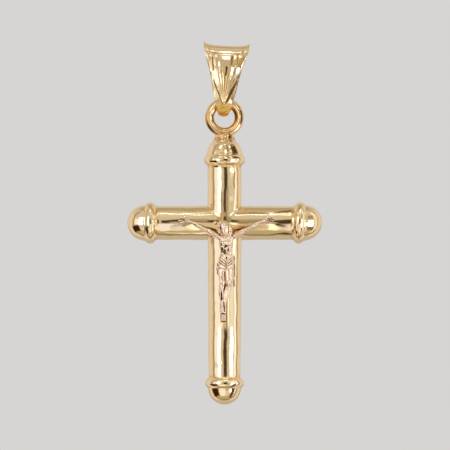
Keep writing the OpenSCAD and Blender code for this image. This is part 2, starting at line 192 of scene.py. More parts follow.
@dataclass(frozen=True)
class GoldFinish:
    """Polished or cast gold alloy with faint tint drift, scratches, solder colour and painted
    shade.

    Attributes:
        name: Name of the material.
        colour: Reflection colour of the plain alloy.
        drift: Colour that the alloy drifts towards in soft patches.
        deep: Colour where the piece's tint attribute is a half: solder colour, and lighter painted
            shade.
        painted_shade_and_dark_solder: Colour where the tint is 1: painted shade in grooves,
            hollows and cuts, and the darkest solder.
        roughness: Roughness of the plain polish.
        wear: How much rougher the worn patches are.
        dull: How much rougher the metal is where the tint is 1.
        grain: Strength of the scratches' bump.
        pebble: Strength of the fine unevenness' bump.
        pebble_size: Length of that unevenness, in millimetres.
    """

    name: str
    colour: Colour
    drift: Colour
    deep: Colour
    painted_shade_and_dark_solder: Colour
    roughness: float
    wear: float
    dull: float
    grain: float
    pebble: float
    pebble_size: float

    def material(self) -> bpy.types.Material:
        """Builds the node material.

        Returns:
            The material, which reads Object coordinates and the tint attribute.
        """
        made, tree = empty_material(self.name)
        place = node(tree, "TexCoord").outputs["Object"]
        tint = node(tree, "Attribute", attribute_name="tint").outputs["Fac"]

        patches = self._noise(tree, place, PATCH_LENGTH, 3.0)
        share = self._span(tree, patches, (0.42, 0.66), (0.0, 0.5))
        base = self._mix(tree, share, (*self.colour, 1.0), self.drift)
        # Tint up to a half moves towards the deep colour (solder, and lighter painted shade), and
        # from a half to 1 towards the darkest colour, mostly painted shade.
        for start, colour in ((0.0, self.deep), (0.5, self.painted_shade_and_dark_solder)):
            share = self._span(tree, tint, (start, start + 0.5), (0.0, 1.0))
            base = self._mix(tree, share, base, colour)

        smears = self._noise(tree, place, SMEAR_LENGTH, 5.0)
        worn = self._span(tree, smears, (0.35, 0.75), (self.roughness, self.roughness + self.wear))
        rough = node(tree, "Math", {0: tint, 1: self.dull, 2: worn}, operation="MULTIPLY_ADD")

        pebble = self._noise(tree, place, self.pebble_size, 3.0)
        normal = self._bump(tree, {"Height": pebble}, self.pebble, 0.04)
        for turn, scale in ((0.5, 5.0), (1.9, 7.0)):
            stretch = node(tree, "Mapping", {
                "Vector": place,
                "Rotation": (turn, 0.7 * turn, turn),
                "Scale": (1.0, 0.035, 0.035 * scale),
            })
            lines = self._noise(tree, stretch.outputs["Vector"], SCRATCH_LENGTH, 2.0)
            scratch = self._span(tree, lines, (0.60, 0.72), (0.0, 1.0))
            normal = self._bump(tree, {"Height": scratch, "Normal": normal}, self.grain, 0.01)

        gold = node(tree, "BsdfPrincipled", {
            "Metallic": 1.0,
            "Base Color": base,
            "Roughness": rough.outputs[0],
            "Normal": normal,
        })
        node(tree, "OutputMaterial", {"Surface": gold.outputs["BSDF"]})
        return made

    def _noise(self, tree: Tree, place: Socket, length: float, detail: float) -> Socket:
        """Adds a noise whose patches are length millimetres long, and returns its value."""
        inputs = {"Vector": place, "Scale": 1.0 / (length * MM), "Detail": detail}
        return node(tree, "TexNoise", inputs).outputs["Fac"]

    def _span(self, tree: Tree, value: Socket, span: tuple[float, float],
              to: tuple[float, float]) -> Socket:
        """Adds a smooth map from the numbers span to the numbers to."""
        inputs = {"Value": value, "From Min": span[0], "From Max": span[1],
                  "To Min": to[0], "To Max": to[1]}
        made = node(tree, "MapRange", inputs, interpolation_type="SMOOTHSTEP")
        return made.outputs["Result"]

    def _mix(self, tree: Tree, share: Socket, low: tuple | Socket, high: Colour) -> Socket:
        """Adds a mix from the colour low to the colour high and returns its colour."""
        inputs = {0: share, 6: low, 7: (*high, 1.0)}
        return node(tree, "Mix", inputs, data_type="RGBA").outputs[2]

    def _bump(self, tree: Tree, inputs: dict, strength: float, height: float) -> Socket:
        """Adds a bump, height millimetres high, over the normal in inputs if any."""
        inputs = {"Strength": strength, "Distance": height * MM, **inputs}
        return node(tree, "Bump", inputs).outputs["Normal"]


YELLOW_GOLD = GoldFinish(
    name="polished_yellow_gold",
    colour=(0.93, 0.74, 0.43),
    drift=(0.94, 0.71, 0.40),
    deep=(0.76, 0.38, 0.09),
    painted_shade_and_dark_solder=(0.17, 0.075, 0.03),
    roughness=0.075,
    wear=0.06,
    dull=0.25,
    grain=0.05,
    pebble=0.05,
    pebble_size=0.6,
)
BRIGHT_GOLD = GoldFinish(
    name="bright_yellow_gold",
    colour=(0.94, 0.76, 0.45),
    drift=(0.94, 0.72, 0.42),
    deep=(0.84, 0.52, 0.12),
    painted_shade_and_dark_solder=(0.17, 0.085, 0.03),
    roughness=0.13,
    wear=0.06,
    dull=0.20,
    grain=0.05,
    pebble=0.06,
    pebble_size=0.5,
)
# On the figure every tint is painted shade, so its deep and darkest colours here paint shade into
# hollows, lines and turned-away sides.
ROSE_GOLD = GoldFinish(
    name="cast_rose_gold",
    colour=(0.94, 0.73, 0.53),
    drift=(0.93, 0.75, 0.51),
    deep=(0.46, 0.30, 0.19),
    painted_shade_and_dark_solder=(0.07, 0.035, 0.02),
    roughness=0.10,
    wear=0.08,
    dull=0.12,
    grain=0.05,
    pebble=0.30,
    pebble_size=0.12,
)


# --- Meshes --------------------------------------------------------------------------


@dataclass
class Skin:
    """Surface of one piece in millimetres, gathered patch by patch.

    Attributes:
        name: Name of the piece.
        points: Arrays of x, y, z and tint.
        quads: Arrays of four corner numbers a face.
    """

    name: str
    points: list[np.ndarray] = field(default_factory=list)
    quads: list[np.ndarray] = field(default_factory=list)

    def add(self, points: np.ndarray, quads: np.ndarray) -> None:
        """Adds one patch, whose quads count its own points from 0."""
        start = sum(len(p) for p in self.points)
        self.points.append(points.reshape(-1, 4))
        self.quads.append(quads.reshape(-1, 4) + start)

    def add_grid(self, grid: np.ndarray, around: bool = False, along: bool = False) -> None:
        """Adds a grid of points as quads between neighbours.

        Args:
            grid: Rows by columns by x, y, z and tint.
            around: True if the last column joins the first.
            along: True if the last row joins the first.
        """
        rows, columns = grid.shape[:2]
        i = np.arange(rows if along else rows - 1)[:, None]
        k = np.arange(columns if around else columns - 1)[None, :]
        j, m = (i + 1) % rows, (k + 1) % columns
        corners = [i * columns + k, i * columns + m, j * columns + m, j * columns + k]
        self.add(grid, np.stack(np.broadcast_arrays(*corners), axis=-1))

    def welded(self) -> tuple[np.ndarray, np.ndarray, np.ndarray]:
        """Joins points in the same place, so that seams and poles are closed.

        Returns:
            Points, quads, and the triangles that quads with a doubled corner become.
        """
        points, quads = np.concatenate(self.points), np.concatenate(self.quads)
        keys = np.round(points[:, :3] / WELD).astype(np.int64)
        _, first, to = np.unique(keys, axis=0, return_index=True, return_inverse=True)
        faces = to.reshape(-1)[quads]
        doubled = faces == np.roll(faces, -1, axis=1)
        thin = faces[doubled.sum(axis=1) == 1]
        turn = doubled[doubled.sum(axis=1) == 1].argmax(axis=1)[:, None] + 1
        triangles = np.take_along_axis(thin, (np.arange(3)[None, :] + turn) % 4, axis=1)
        return points[first], faces[~doubled.any(axis=1)], triangles

    def piece(self, finish: GoldFinish, slot: str, body: str,
              crease: float = 0.0) -> bpy.types.Object:
        """Makes the mesh and its object, and hangs it on a body.

        Args:
            finish: Finish of the whole piece.
            slot: The record's material slot; not used.
            body: The body that it rides on.
            crease: Angle in degrees past which an edge stays sharp, or 0 for none.

        Returns:
            The finished piece.
        """
        points, quads, triangles = self.welded()
        mesh = bpy.data.meshes.new(self.name)
        mesh.vertices.add(len(points))
        mesh.vertices.foreach_set("co", (points[:, :3] * MM).astype(np.float32).ravel())
        corners = np.concatenate([quads.ravel(), triangles.ravel()]).astype(np.int32)
        mesh.loops.add(len(corners))
        mesh.loops.foreach_set("vertex_index", corners)
        starts = np.concatenate([
            np.arange(len(quads)) * 4, quads.size + np.arange(len(triangles)) * 3])
        mesh.polygons.add(len(starts))
        mesh.polygons.foreach_set("loop_start", starts.astype(np.int32))
        mesh.update(calc_edges=True)
        tint = mesh.attributes.new("tint", "FLOAT", "POINT")
        tint.data.foreach_set("value", points[:, 3].astype(np.float32))
        turned = bmesh.new()
        turned.from_mesh(mesh)
        bmesh.ops.recalc_face_normals(turned, faces=turned.faces)
        turned.to_mesh(mesh)
        turned.free()
        mesh.polygons.foreach_set("use_smooth", np.ones(len(mesh.polygons), dtype=bool))
        if crease:
            mesh.set_sharp_from_angle(angle=math.radians(crease))
        mesh.validate()
        made = bpy.data.objects.new(self.name, mesh)
        bpy.context.scene.collection.objects.link(made)
        mesh.materials.append(material_of(finish))
        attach(made, body)
        log.info("%s: %d points, %d faces", self.name, len(points), len(starts))
        return made


def material_of(finish: GoldFinish) -> bpy.types.Material:
    """The material of a finish, made the first time that it is asked for."""
    return bpy.data.materials.get(finish.name) or finish.material()


# --- Cross ---------------------------------------------------------------------------


class Limb(Enum):
    """The four limbs of the cross, by their direction in x and z."""

    HEAD = (0.0, 1.0)
    FOOT = (0.0, -1.0)
    LEFT = (-1.0, 0.0)
    RIGHT = (1.0, 0.0)


@dataclass
class Cross:
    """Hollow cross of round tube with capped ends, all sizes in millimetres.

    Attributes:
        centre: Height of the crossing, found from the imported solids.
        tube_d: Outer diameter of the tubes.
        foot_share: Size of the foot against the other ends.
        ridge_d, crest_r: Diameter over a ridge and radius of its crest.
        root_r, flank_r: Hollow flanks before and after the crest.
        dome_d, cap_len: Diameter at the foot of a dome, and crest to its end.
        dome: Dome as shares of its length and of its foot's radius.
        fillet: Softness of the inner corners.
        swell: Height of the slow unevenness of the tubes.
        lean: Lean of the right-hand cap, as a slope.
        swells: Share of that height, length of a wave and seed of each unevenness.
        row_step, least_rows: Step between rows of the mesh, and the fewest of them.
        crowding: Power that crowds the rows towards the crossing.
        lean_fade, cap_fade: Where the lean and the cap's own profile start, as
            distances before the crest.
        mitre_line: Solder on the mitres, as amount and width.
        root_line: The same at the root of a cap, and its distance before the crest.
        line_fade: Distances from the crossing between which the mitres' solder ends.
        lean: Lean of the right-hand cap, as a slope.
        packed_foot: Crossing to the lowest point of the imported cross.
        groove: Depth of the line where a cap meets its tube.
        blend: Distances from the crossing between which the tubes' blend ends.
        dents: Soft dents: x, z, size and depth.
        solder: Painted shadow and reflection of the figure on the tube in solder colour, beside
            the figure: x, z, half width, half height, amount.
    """

    left_reach: float = 7.88
    right_reach: float = 7.93
    head_reach: float = 6.68
    foot_reach: float = 16.98
    tube_d: float = 3.6
    foot_share: float = 0.94
    ridge_d: float = 4.42
    crest_r: float = 0.6
    root_r: float = 0.34
    flank_r: float = 0.26
    dome_d: float = 3.80
    cap_len: float = 2.44
    dome: Table = (
        (0.0, 1.0), (0.1, 0.98), (0.22, 0.948), (0.34, 0.905), (0.45, 0.858), (0.56, 0.795),
        (0.66, 0.715), (0.76, 0.61), (0.84, 0.5), (0.91, 0.375), (0.96, 0.25), (0.99, 0.12),
        (1.0, 0.0),
    )
    fillet: float = 0.14
    swell: float = 0.018
    swells: Table = ((1.0, 3.6, 5), (0.4, 1.1, 9))
    row_step: float = 0.2
    least_rows: int = 24
    crowding: float = 1.25
    lean_fade: tuple[float, float] = (1.0, 0.4)
    cap_fade: tuple[float, float] = (1.2, 0.75)
    mitre_line: tuple[float, float] = (0.40, 0.07)
    root_line: tuple[float, float, float] = (0.27, 0.22, 0.72)
    line_fade: tuple[float, float] = (2.2, 2.9)
    lean: float = 0.045
    packed_foot: float = 19.35
    sides: int = 160
    groove: float = 0.03
    groove_width: float = 0.05
    blend: tuple[float, float] = (2.6, 3.2)
    dents: Table = (
        (-6.25, -0.67, 0.16, 0.03), (-0.75, -12.4, 0.1, 0.02), (0.62, -13.8, 0.12, 0.02),
        (-0.42, -14.8, 0.08, 0.02), (0.95, -14.2, 0.08, 0.015), (5.1, 0.45, 0.12, 0.012),
    )
    solder: Table = (
        (-0.42, 0.72, 0.26, 0.22, 0.5), (-0.1, 0.95, 0.3, 0.2, 0.3),
        (1.1, -0.62, 0.4, 0.16, 0.46), (1.75, -0.42, 0.5, 0.15, 0.42),
        (2.35, -0.12, 0.4, 0.13, 0.3), (-1.15, -0.72, 0.45, 0.16, 0.3),
    )
    centre: float = field(init=False)

    def __post_init__(self) -> None:
        """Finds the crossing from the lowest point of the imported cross."""
        low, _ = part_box("cross")
        self.centre = low.z / MM + self.packed_foot

    @property
    def tube_r(self) -> float:
        """Radius of the tubes."""
        return self.tube_d / 2

    def reach_of(self, limb: Limb) -> float:
        """Crossing to the crest of that limb's ridge."""
        return {Limb.HEAD: self.head_reach, Limb.FOOT: self.foot_reach,
                Limb.LEFT: self.left_reach, Limb.RIGHT: self.right_reach}[limb]

    def share_of(self, limb: Limb) -> float:
        """Size of that limb's end against the others."""
        return self.foot_share if limb is Limb.FOOT else 1.0

    def cap_profile(self) -> np.ndarray:
        """Ridge and dome as a line of arcs that touch each other.

        The hollow root leaves the tube along its side, meets the round crest where
        their centres line up, and the second flank does the same down to the dome,
        whose sides are nearly straight before they turn in to the tip.

        Returns:
            Distance past the crest and radius, from the tube to the pole.
        """
        crest = self.ridge_d / 2 - self.crest_r
        dome_r = self.dome_d / 2
        rise_in = self.tube_r + self.root_r - crest
        rise_out = dome_r + self.flank_r - crest
        foot_in = math.sqrt((self.root_r + self.crest_r) ** 2 - rise_in**2)
        foot_out = math.sqrt((self.flank_r + self.crest_r) ** 2 - rise_out**2)
        turn_in = math.atan2(rise_in, -foot_in)
        turn_out = math.atan2(rise_out, foot_out)
        dome = np.array(self.dome) * (self.cap_len - foot_out, dome_r) + (foot_out, 0.0)
        line = np.concatenate([
            arc((-foot_in, self.tube_r + self.root_r), self.root_r,
                -math.pi / 2, turn_in - math.pi, 12),
            arc((0.0, crest), self.crest_r, turn_in, turn_out, 12)[1:],
            arc((foot_out, dome_r + self.flank_r), self.flank_r,
                math.pi + turn_out, 1.45 * math.pi, 8)[1:],
            through_rows(dome, np.linspace(0, len(dome) - 1, 6 * len(dome)))[1:],
        ])
        line[-1] = (self.cap_len, 0.0)
        line[:, 1] -= self.groove * bell(line[:, 0] + foot_in, self.groove_width)
        return line

    def limb_grid(self, limb: Limb) -> np.ndarray:
        """Skin of one limb: angle round the tube by distance along it.

        The tube starts on the mitre, where the distance along the limb equals the
        distance across it, so that neighbouring limbs share that line. Rows run to
        the cap and then follow its profile to the pole. Each point is then moved to
        where the two tubes, blended softly, have their surface.

        Args:
            limb: Which limb.

        Returns:
            Rows by columns by x, y, z and tint, with the crossing at the origin.
        """
        way_x, way_z = limb.value
        reach, share = self.reach_of(limb), self.share_of(limb)
        turn = round_turn(self.sides)
        across, front = np.sin(turn), -np.cos(turn)
        profile = self.cap_profile() * share
        mitre = self.tube_r * np.abs(across)
        rows = max(self.least_rows, int((reach + profile[0, 0]) / self.row_step))
        step = np.linspace(0, 1, rows)[:, None] ** self.crowding
        along = mitre + (reach + profile[0, 0] - mitre) * step
        narrow = np.clip((along - self.tube_r) / (reach - self.tube_r), 0, 1)
        radius = self.tube_r * (1 + (share - 1) * narrow)
        edge = along - reach - profile[0, 0]
        radius -= self.groove * share * bell(edge, self.groove_width)
        along = np.concatenate([along, np.repeat(reach + profile[1:, :1], self.sides, axis=1)])
        radius = np.concatenate([radius, np.repeat(profile[1:, 1:], self.sides, axis=1)])
        side = radius * across
        if limb is Limb.RIGHT:
            leaning = ease(along, *(reach - back for back in self.lean_fade))
            along = along + self.lean * side * leaning
        x = way_x * along + abs(way_z) * side
        z = way_z * along + abs(way_x) * side
        points = np.stack([x, radius * front, z], axis=-1)
        near_cap = ease(along, *(reach - back * share for back in self.cap_fade))
        points = self.settled(points, near_cap)
        return tinted(points, self.tint(points, along, reach, share))

    def settled(self, points: np.ndarray, near_cap: np.ndarray) -> np.ndarray:
        """Moves points on to the blended surface of the crossing tubes, with swell.

        The blend is a smooth least value of the distances to both tubes, and each
        pass moves a point along its slope by what is left.

        Args:
            points: Grid of points on plain tubes.
            near_cap: 1 on the caps, which keep their own profile.

        Returns:
            The moved points.
        """
        swell = np.zeros(points.shape[:2])
        for much, length, seed in self.swells:
            swell += much * self.swell * (1 - near_cap) * ripple(points, length, seed)
        for x, z, size, depth in self.dents:
            gap = (points[..., 0] - x) ** 2 + (points[..., 2] - z) ** 2
            swell -= depth * np.exp(-gap / size**2) * (points[..., 1] < 0)
        span = np.hypot(points[..., 0], points[..., 2])
        moved = points.copy()
        for _ in range(3):
            x, y, z = np.moveaxis(moved, -1, 0)
            over_arms, over_upright = np.hypot(y, z), np.hypot(x, y)
            from_arms, from_upright = np.maximum(over_arms, 1e-9), np.maximum(over_upright, 1e-9)
            gap = over_upright - over_arms
            mix = np.clip(0.5 + 0.5 * gap / self.fillet, 0, 1)
            least = over_upright * (1 - mix) + over_arms * mix - self.fillet * mix * (1 - mix)
            slope = np.stack([
                (1 - mix) * x / from_upright,
                mix * y / from_arms + (1 - mix) * y / from_upright,
                mix * z / from_arms,
            ], axis=-1)
            slope /= np.maximum(np.linalg.norm(slope, axis=-1, keepdims=True), 1e-9)
            miss = (least - self.tube_r - swell)[..., None]
            moved = np.where((span < self.blend[1])[..., None], moved - miss * slope, moved)
        out = points.copy()
        long_x = np.abs(points[..., 0]) > np.abs(points[..., 2])
        out[..., 0] = np.where(long_x, 0, points[..., 0])
        out[..., 2] = np.where(long_x, points[..., 2], 0)
        out /= np.maximum(np.linalg.norm(out, axis=-1, keepdims=True), 1e-9)
        plain = points + swell[..., None] * out
        fade = ease(span, *self.blend)[..., None]
        return moved * (1 - fade) + plain * fade

    def tint(self, points: np.ndarray, along: np.ndarray, reach: float,
             share: float) -> np.ndarray:
        """Solder colour along the mitres and at the root of each cap, and painted shadow and
        reflection of the figure beside it.

        Args:
            points: Grid of points.
            along: Distance along the limb.
            reach: Crossing to the crest.
            share: Size of the end.

        Returns:
            0 for plain gold to 1 for solder colour and painted shadow.
        """
        seam = np.abs(np.abs(points[..., 0]) - np.abs(points[..., 2]))
        close = 1 - ease(np.hypot(points[..., 0], points[..., 2]), *self.line_fade)
        uneven = 0.65 + 0.35 * ripple(points, 0.7, 3)
        much, wide, back = self.root_line
        solder_and_painted_shadow = self.mitre_line[0] * bell(seam, self.mitre_line[1]) * close * uneven
        solder_and_painted_shadow += much * bell(along - reach + back * share, wide) * uneven
        # Painted shadow and reflection of the figure's edges on the tube, in solder colour.
        for x, z, wide, high, much in self.solder:
            away = np.hypot((points[..., 0] - x) / wide, (points[..., 2] - z) / high)
            solder_and_painted_shadow += much * bell(away, 1.0) * (points[..., 1] < 0) * (0.75 + 0.25 * uneven)
        return solder_and_painted_shadow

    def build(self) -> bpy.types.Object:
        """Builds the skin of the cross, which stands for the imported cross."""
        skin = Skin("cross_skin")
        for limb in Limb:
            grid = self.limb_grid(limb)
            grid[..., 2] += self.centre
            skin.add_grid(grid, around=True)
        made = skin.piece(YELLOW_GOLD, "yellow_gold", "pendant")
        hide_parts("cross")
        return made


# --- Loop ----------------------------------------------------------------------------


@dataclass
class Loop:
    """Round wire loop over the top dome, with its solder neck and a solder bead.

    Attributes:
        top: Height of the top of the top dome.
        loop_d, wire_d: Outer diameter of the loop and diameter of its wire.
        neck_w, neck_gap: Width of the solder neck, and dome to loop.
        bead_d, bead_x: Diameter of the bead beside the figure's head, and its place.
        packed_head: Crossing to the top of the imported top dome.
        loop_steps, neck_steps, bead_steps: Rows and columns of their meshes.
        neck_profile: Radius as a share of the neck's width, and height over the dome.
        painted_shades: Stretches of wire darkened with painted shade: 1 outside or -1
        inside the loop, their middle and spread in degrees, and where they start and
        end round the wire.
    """

    cross: Cross
    loop_d: float = 4.12
    wire_d: float = 0.98
    neck_w: float = 2.2
    neck_gap: float = 0.02
    bead_d: float = 0.44
    bead_x: float = -0.972
    packed_head: float = 9.1
    loop_steps: tuple[int, int] = (144, 40)
    neck_steps: tuple[int, int] = (36, 72)
    bead_steps: tuple[int, int] = (24, 40)
    neck_profile: Table = (
        (0.60, -0.55), (0.555, -0.36), (0.50, -0.20), (0.472, -0.05), (0.462, 0.08), (0.455, 0.22),
        (0.38, 0.36), (0.20, 0.44), (0.0, 0.455),
    )
    painted_shades: Table = ((1, 232, 36, 0.30, 0.70), (-1, 80, 42, 0.10, 0.50))

    @property
    def top(self) -> float:
        """Height of the top of the top dome."""
        return self.cross.centre + self.packed_head

    def loop_grid(self) -> np.ndarray:
        """Torus: angle round the loop by angle round its wire."""
        round_loop = round_turn(self.loop_steps[0])[:, None]
        round_wire = round_turn(self.loop_steps[1])[None, :]
        ring, wire = (self.loop_d - self.wire_d) / 2, self.wire_d / 2
        out = ring + wire * np.cos(round_wire)
        points = placed(
            out * np.sin(round_loop), wire * np.sin(round_wire), out * np.cos(round_loop))
        normal = placed(np.cos(round_wire) * np.sin(round_loop), np.sin(round_wire),
                        np.cos(round_wire) * np.cos(round_loop))
        points += 0.006 * ripple(points, 1.6, 21)[..., None] * normal
        foot = ease(-points[..., 2], ring - 0.25, ring + wire)
        # Orange tint of the loop, more at its foot by the neck, and painted shade on the inner
        # side of the wire.
        tint = 0.15 + 0.12 * ease(-np.cos(round_wire), 0.0, 1.0) + 0.1 * foot
        # Painted shade on the listed stretches of wire.
        for side, turn, spread, start, end in self.painted_shades:
            near = bell(round_loop - math.radians(turn), math.radians(spread))
            tint += 0.75 * near * ease(side * np.cos(round_wire), start, end)
        points[..., 2] += self.top + self.neck_gap + self.loop_d / 2
        return tinted(points, tint)

    def neck_grid(self) -> np.ndarray:
        """Solder neck: a closed hollow profile turned round the upright's axis."""
        rows = np.array(self.neck_profile)
        line = through_rows(rows, np.linspace(0, len(rows) - 1, self.neck_steps[0]))
        line[-1, 0] = 0.0
        line = np.concatenate([[[0.0, line[0, 1]]], line])
        turn = round_turn(self.neck_steps[1])[None, :]
        radius = np.maximum(line[:, :1], 0) * self.neck_w
        points = placed(radius * np.sin(turn), -radius * np.cos(turn), line[:, 1:])
        lumps = 0.025 * ripple(points[:-1], 0.9, 31)[..., None]
        points[:-1] += lumps * points[:-1] / self.neck_w
        band = ease(points[..., 2], -0.42, -0.26) * (1 - ease(points[..., 2], -0.08, 0.06))
        points[..., 2] += self.top
        return tinted(points, 0.12 + 0.36 * band * (0.7 + 0.4 * ripple(points, 0.45, 41)))

    def bead_grid(self) -> np.ndarray:
        """Solder bead: a ball, latitude by longitude."""
        up = np.linspace(-math.pi / 2, math.pi / 2, self.bead_steps[0])[:, None]
        turn = round_turn(self.bead_steps[1])[None, :]
        radius = self.bead_d / 2
        flat = radius * np.cos(up)
        points = placed(flat * np.cos(turn), radius * np.sin(up), flat * np.sin(turn))
        points += np.array([self.bead_x, -self.cross.tube_r, self.cross.centre])
        return tinted(points, 0.18)

    def build(self) -> list[bpy.types.Object]:
        """Builds the loop, the neck and the bead."""
        skins = [Skin("wire_loop"), Skin("solder_neck"), Skin("solder_bead")]
        for skin, grid in zip(skins, (self.loop_grid(), self.neck_grid(), self.bead_grid())):
            skin.add_grid(grid, around=True, along=skin.name == "wire_loop")
        return [skin.piece(YELLOW_GOLD, "yellow_gold", "pendant") for skin in skins]


# --- Bail ----------------------------------------------------------------------------


@dataclass
class Bail:
    """Folded bail of sheet: a plain back leaf, and a front leaf with a fan of cuts.

    Attributes:
        width: Width over the two horns.
        drop: Chain to the middle of the loop's wire.
        depth: Inside depth between the leaves.
        wall, tip: Thickness of the sheet and of its soldered tips.
        flare: Outward curl of the horns.
        crown: How far the sides of a leaf bend back.
        flute, recess: Depth of a flute a unit above the fan's tip, and of the cut face.
        bevel: Drop of the sheet's edges.
        columns: Places across a face.
        lip: Bottom of the plain lip below the chain, in the middle and at the horns.
        hole_r, ring_r: Radius of the loop's hole and of its wire's middle.
        seat_gap: Room between the wire of the loop and the tips.
        fan_tip: Where the flutes meet.
        lean, lean_about: Sideways lean in degrees, and the height that it turns about.
        fine: Rows of the mesh from one station to the next.
        lip_rise: Places across between which the lip's edge rises to the horns.
        fan_fade, fan_deepest: Heights between which the flutes start, and the height
            above their tip past which they get no deeper.
        solder_fade: Heights between which the solder of the tips starts.
        flare_power, crown_power: How steeply the horns curl and the sides bend back.
        leaf_table: Stations of the sheet: height and depth, half width, flare, cut and
            crown, as shares of the sizes above.
        tip_table: Stations round the loop's wire: degrees from its foot, half width,
            thickening and cut.
        fan_table: Flutes as shares of the height above their tip, and of their depth.
        cuts: Single cuts: across, down and half width at the start and the same at the
        end, then depth, slope of the floor to the right, and tint, the painted shade
        in the cut.
    """

    width: float = 4.85
    drop: float = 5.7
    depth: float = 2.8
    wall: float = 0.35
    tip: float = 0.75
    flare: float = 0.36
    crown: float = 0.30
    flute: float = 0.014
    recess: float = 0.06
    bevel: float = 0.03
    columns: int = 141
    lip: tuple[float, float] = (0.50, 0.03)
    seat_gap: float = 0.05
    hole_r: float = 1.08
    ring_r: float = 1.57
    fan_tip: float = 6.05
    lean: float = 2.8
    lean_about: float = -4.2
    fine: int = 9
    lip_rise: tuple[float, float] = (1.30, 2.30)
    fan_fade: tuple[float, float] = (2.3, 3.2)
    fan_deepest: float = 3.0
    solder_fade: tuple[float, float] = (5.95, 6.20)
    flare_power: int = 4
    crown_power: float = 2.2
    leaf_table: Table = (
        (0.0, 0.0, 1.02, 1.0, 0.0, 0.0), (0.006, 0.38, 1.012, 0.97, 0.0, 0.0),
        (0.03, 0.64, 0.99, 0.82, 0.0, 0.0), (0.065, 0.77, 0.962, 0.65, 0.5, 0.1),
        (0.1, 0.815, 0.935, 0.48, 1.0, 0.2), (0.135, 0.86, 0.905, 0.35, 1.0, 0.4),
        (0.18, 0.925, 0.868, 0.2, 1.0, 0.6), (0.24, 0.98, 0.82, 0.08, 1.0, 0.85),
        (0.33, 1.0, 0.755, 0.0, 1.0, 1.0), (0.44, 0.985, 0.68, 0.0, 1.0, 1.0),
        (0.55, 0.95, 0.62, 0.0, 1.0, 1.0), (0.66, 0.905, 0.565, 0.0, 1.0, 0.9),
        (0.77, 0.855, 0.52, 0.0, 1.0, 0.8), (0.87, 0.805, 0.465, 0.0, 1.0, 0.5),
        (0.94, 0.765, 0.415, 0.0, 1.0, 0.2),
    )
    tip_table: Table = (
        (90, 0.83, 0.0, 1.0), (72, 0.78, 0.12, 0.6), (50, 0.7, 0.5, 0.0), (26, 0.63, 0.9, 0.0),
        (0, 0.59, 1.0, 0.0),
    )
    fan_table: Table = (
        (-0.36, 0.0), (-0.31, 0.6), (-0.25, 0.1), (-0.19, 1.0), (-0.14, 0.1), (-0.09, 0.9),
        (-0.04, 0.0), (0.02, 1.1), (0.07, 0.2), (0.12, 1.0), (0.17, 0.0), (0.23, 1.0),
        (0.29, 0.1), (0.34, 0.5), (0.38, 0.0),
    )
    cuts: Table = (
        (-1.78, 0.7, 0.2, -1.5, 2.4, 0.12, 0.06, -0.16, 0.06),
        (-1.44, 0.95, 0.07, -1.26, 2.35, 0.05, 0.13, 0.0, 0.88),
        (-1.08, 0.75, 0.1, -0.95, 2.2, 0.08, 0.03, -0.1, 0.0),
        (-0.72, 1.55, 0.14, -0.6, 2.3, 0.12, 0.07, 0.22, 0.0),
        (-0.42, 2.2, 0.1, -0.36, 3.0, 0.07, 0.08, -0.2, 0.2),
        (0.7, 0.85, 0.13, 0.62, 1.75, 0.08, 0.12, 0.3, 0.84),
        (1.02, 0.75, 0.12, 0.92, 1.9, 0.1, 0.04, 0.1, 0.05),
        (1.52, 0.75, 0.24, 1.42, 2.0, 0.2, 0.06, 0.16, 0.2),
        (1.3, 0.8, 0.035, 1.18, 2.0, 0.035, 0.12, 0.0, 0.8),
        (1.76, 0.8, 0.03, 1.58, 1.95, 0.03, 0.11, 0.0, 0.78),
        (0.13, 2.02, 0.15, 0.07, 2.85, 0.1, 0.09, -0.05, 0.96),
        (0.74, 2.05, 0.17, 0.62, 3.1, 0.11, 0.07, -0.28, 0.0),
        (1.36, 2.15, 0.25, 1.24, 3.2, 0.19, 0.06, -0.1, 0.0),
        (-1.13, 2.7, 0.17, -0.66, 4.3, 0.08, 0.07, 0.08, 0.0),
        (-1.45, 2.65, 0.06, -1.36, 3.5, 0.05, 0.03, 0.1, 0.0),
        (-1.2, 3.4, 0.035, -1.02, 3.95, 0.055, 0.13, 0.0, 0.95),
        (-1.02, 3.95, 0.06, -0.56, 4.85, 0.05, 0.12, 0.0, 0.92),
        (-0.56, 4.85, 0.05, -0.12, 6.0, 0.04, 0.1, 0.0, 0.92),
        (1.3, 3.44, 0.07, 0.96, 4.15, 0.14, 0.12, 0.1, 0.9),
        (0.94, 4.15, 0.14, 0.64, 4.85, 0.165, 0.13, 0.1, 0.95),
        (0.64, 4.85, 0.165, 0.4, 5.45, 0.14, 0.12, 0.1, 0.97),
        (0.4, 5.45, 0.14, 0.16, 5.98, 0.05, 0.09, 0.1, 0.92),
    )

    def stations(self) -> np.ndarray:
        """Rows down one leaf: depth, height, half width, wall, flare, cut and crown."""
        leaf = np.array(self.leaf_table)
        plain = np.stack([
            leaf[:, 1] * self.depth / 2, -leaf[:, 0] * self.drop, leaf[:, 2] * self.width / 2,
            np.full(len(leaf), self.wall), leaf[:, 3] * self.flare, leaf[:, 4],
            leaf[:, 5] * self.crown,
        ], axis=1)
        tip = np.array(self.tip_table)
        half = tip[:, 1] * self.hole_r
        rise = self.ring_r - np.sqrt(self.hole_r**2 - half**2) + self.seat_gap
        angle = np.radians(tip[:, 0])
        under = np.stack([
            rise * np.sin(angle), -self.drop - rise * np.cos(angle), half,
            self.wall + tip[:, 2] * (self.tip - self.wall), np.zeros(len(tip)), tip[:, 3],
            np.zeros(len(tip)),
        ], axis=1)
        rows = np.concatenate([plain, under])
        return through_rows(rows, np.linspace(0, len(rows) - 1, (len(rows) - 1) * self.fine + 1))

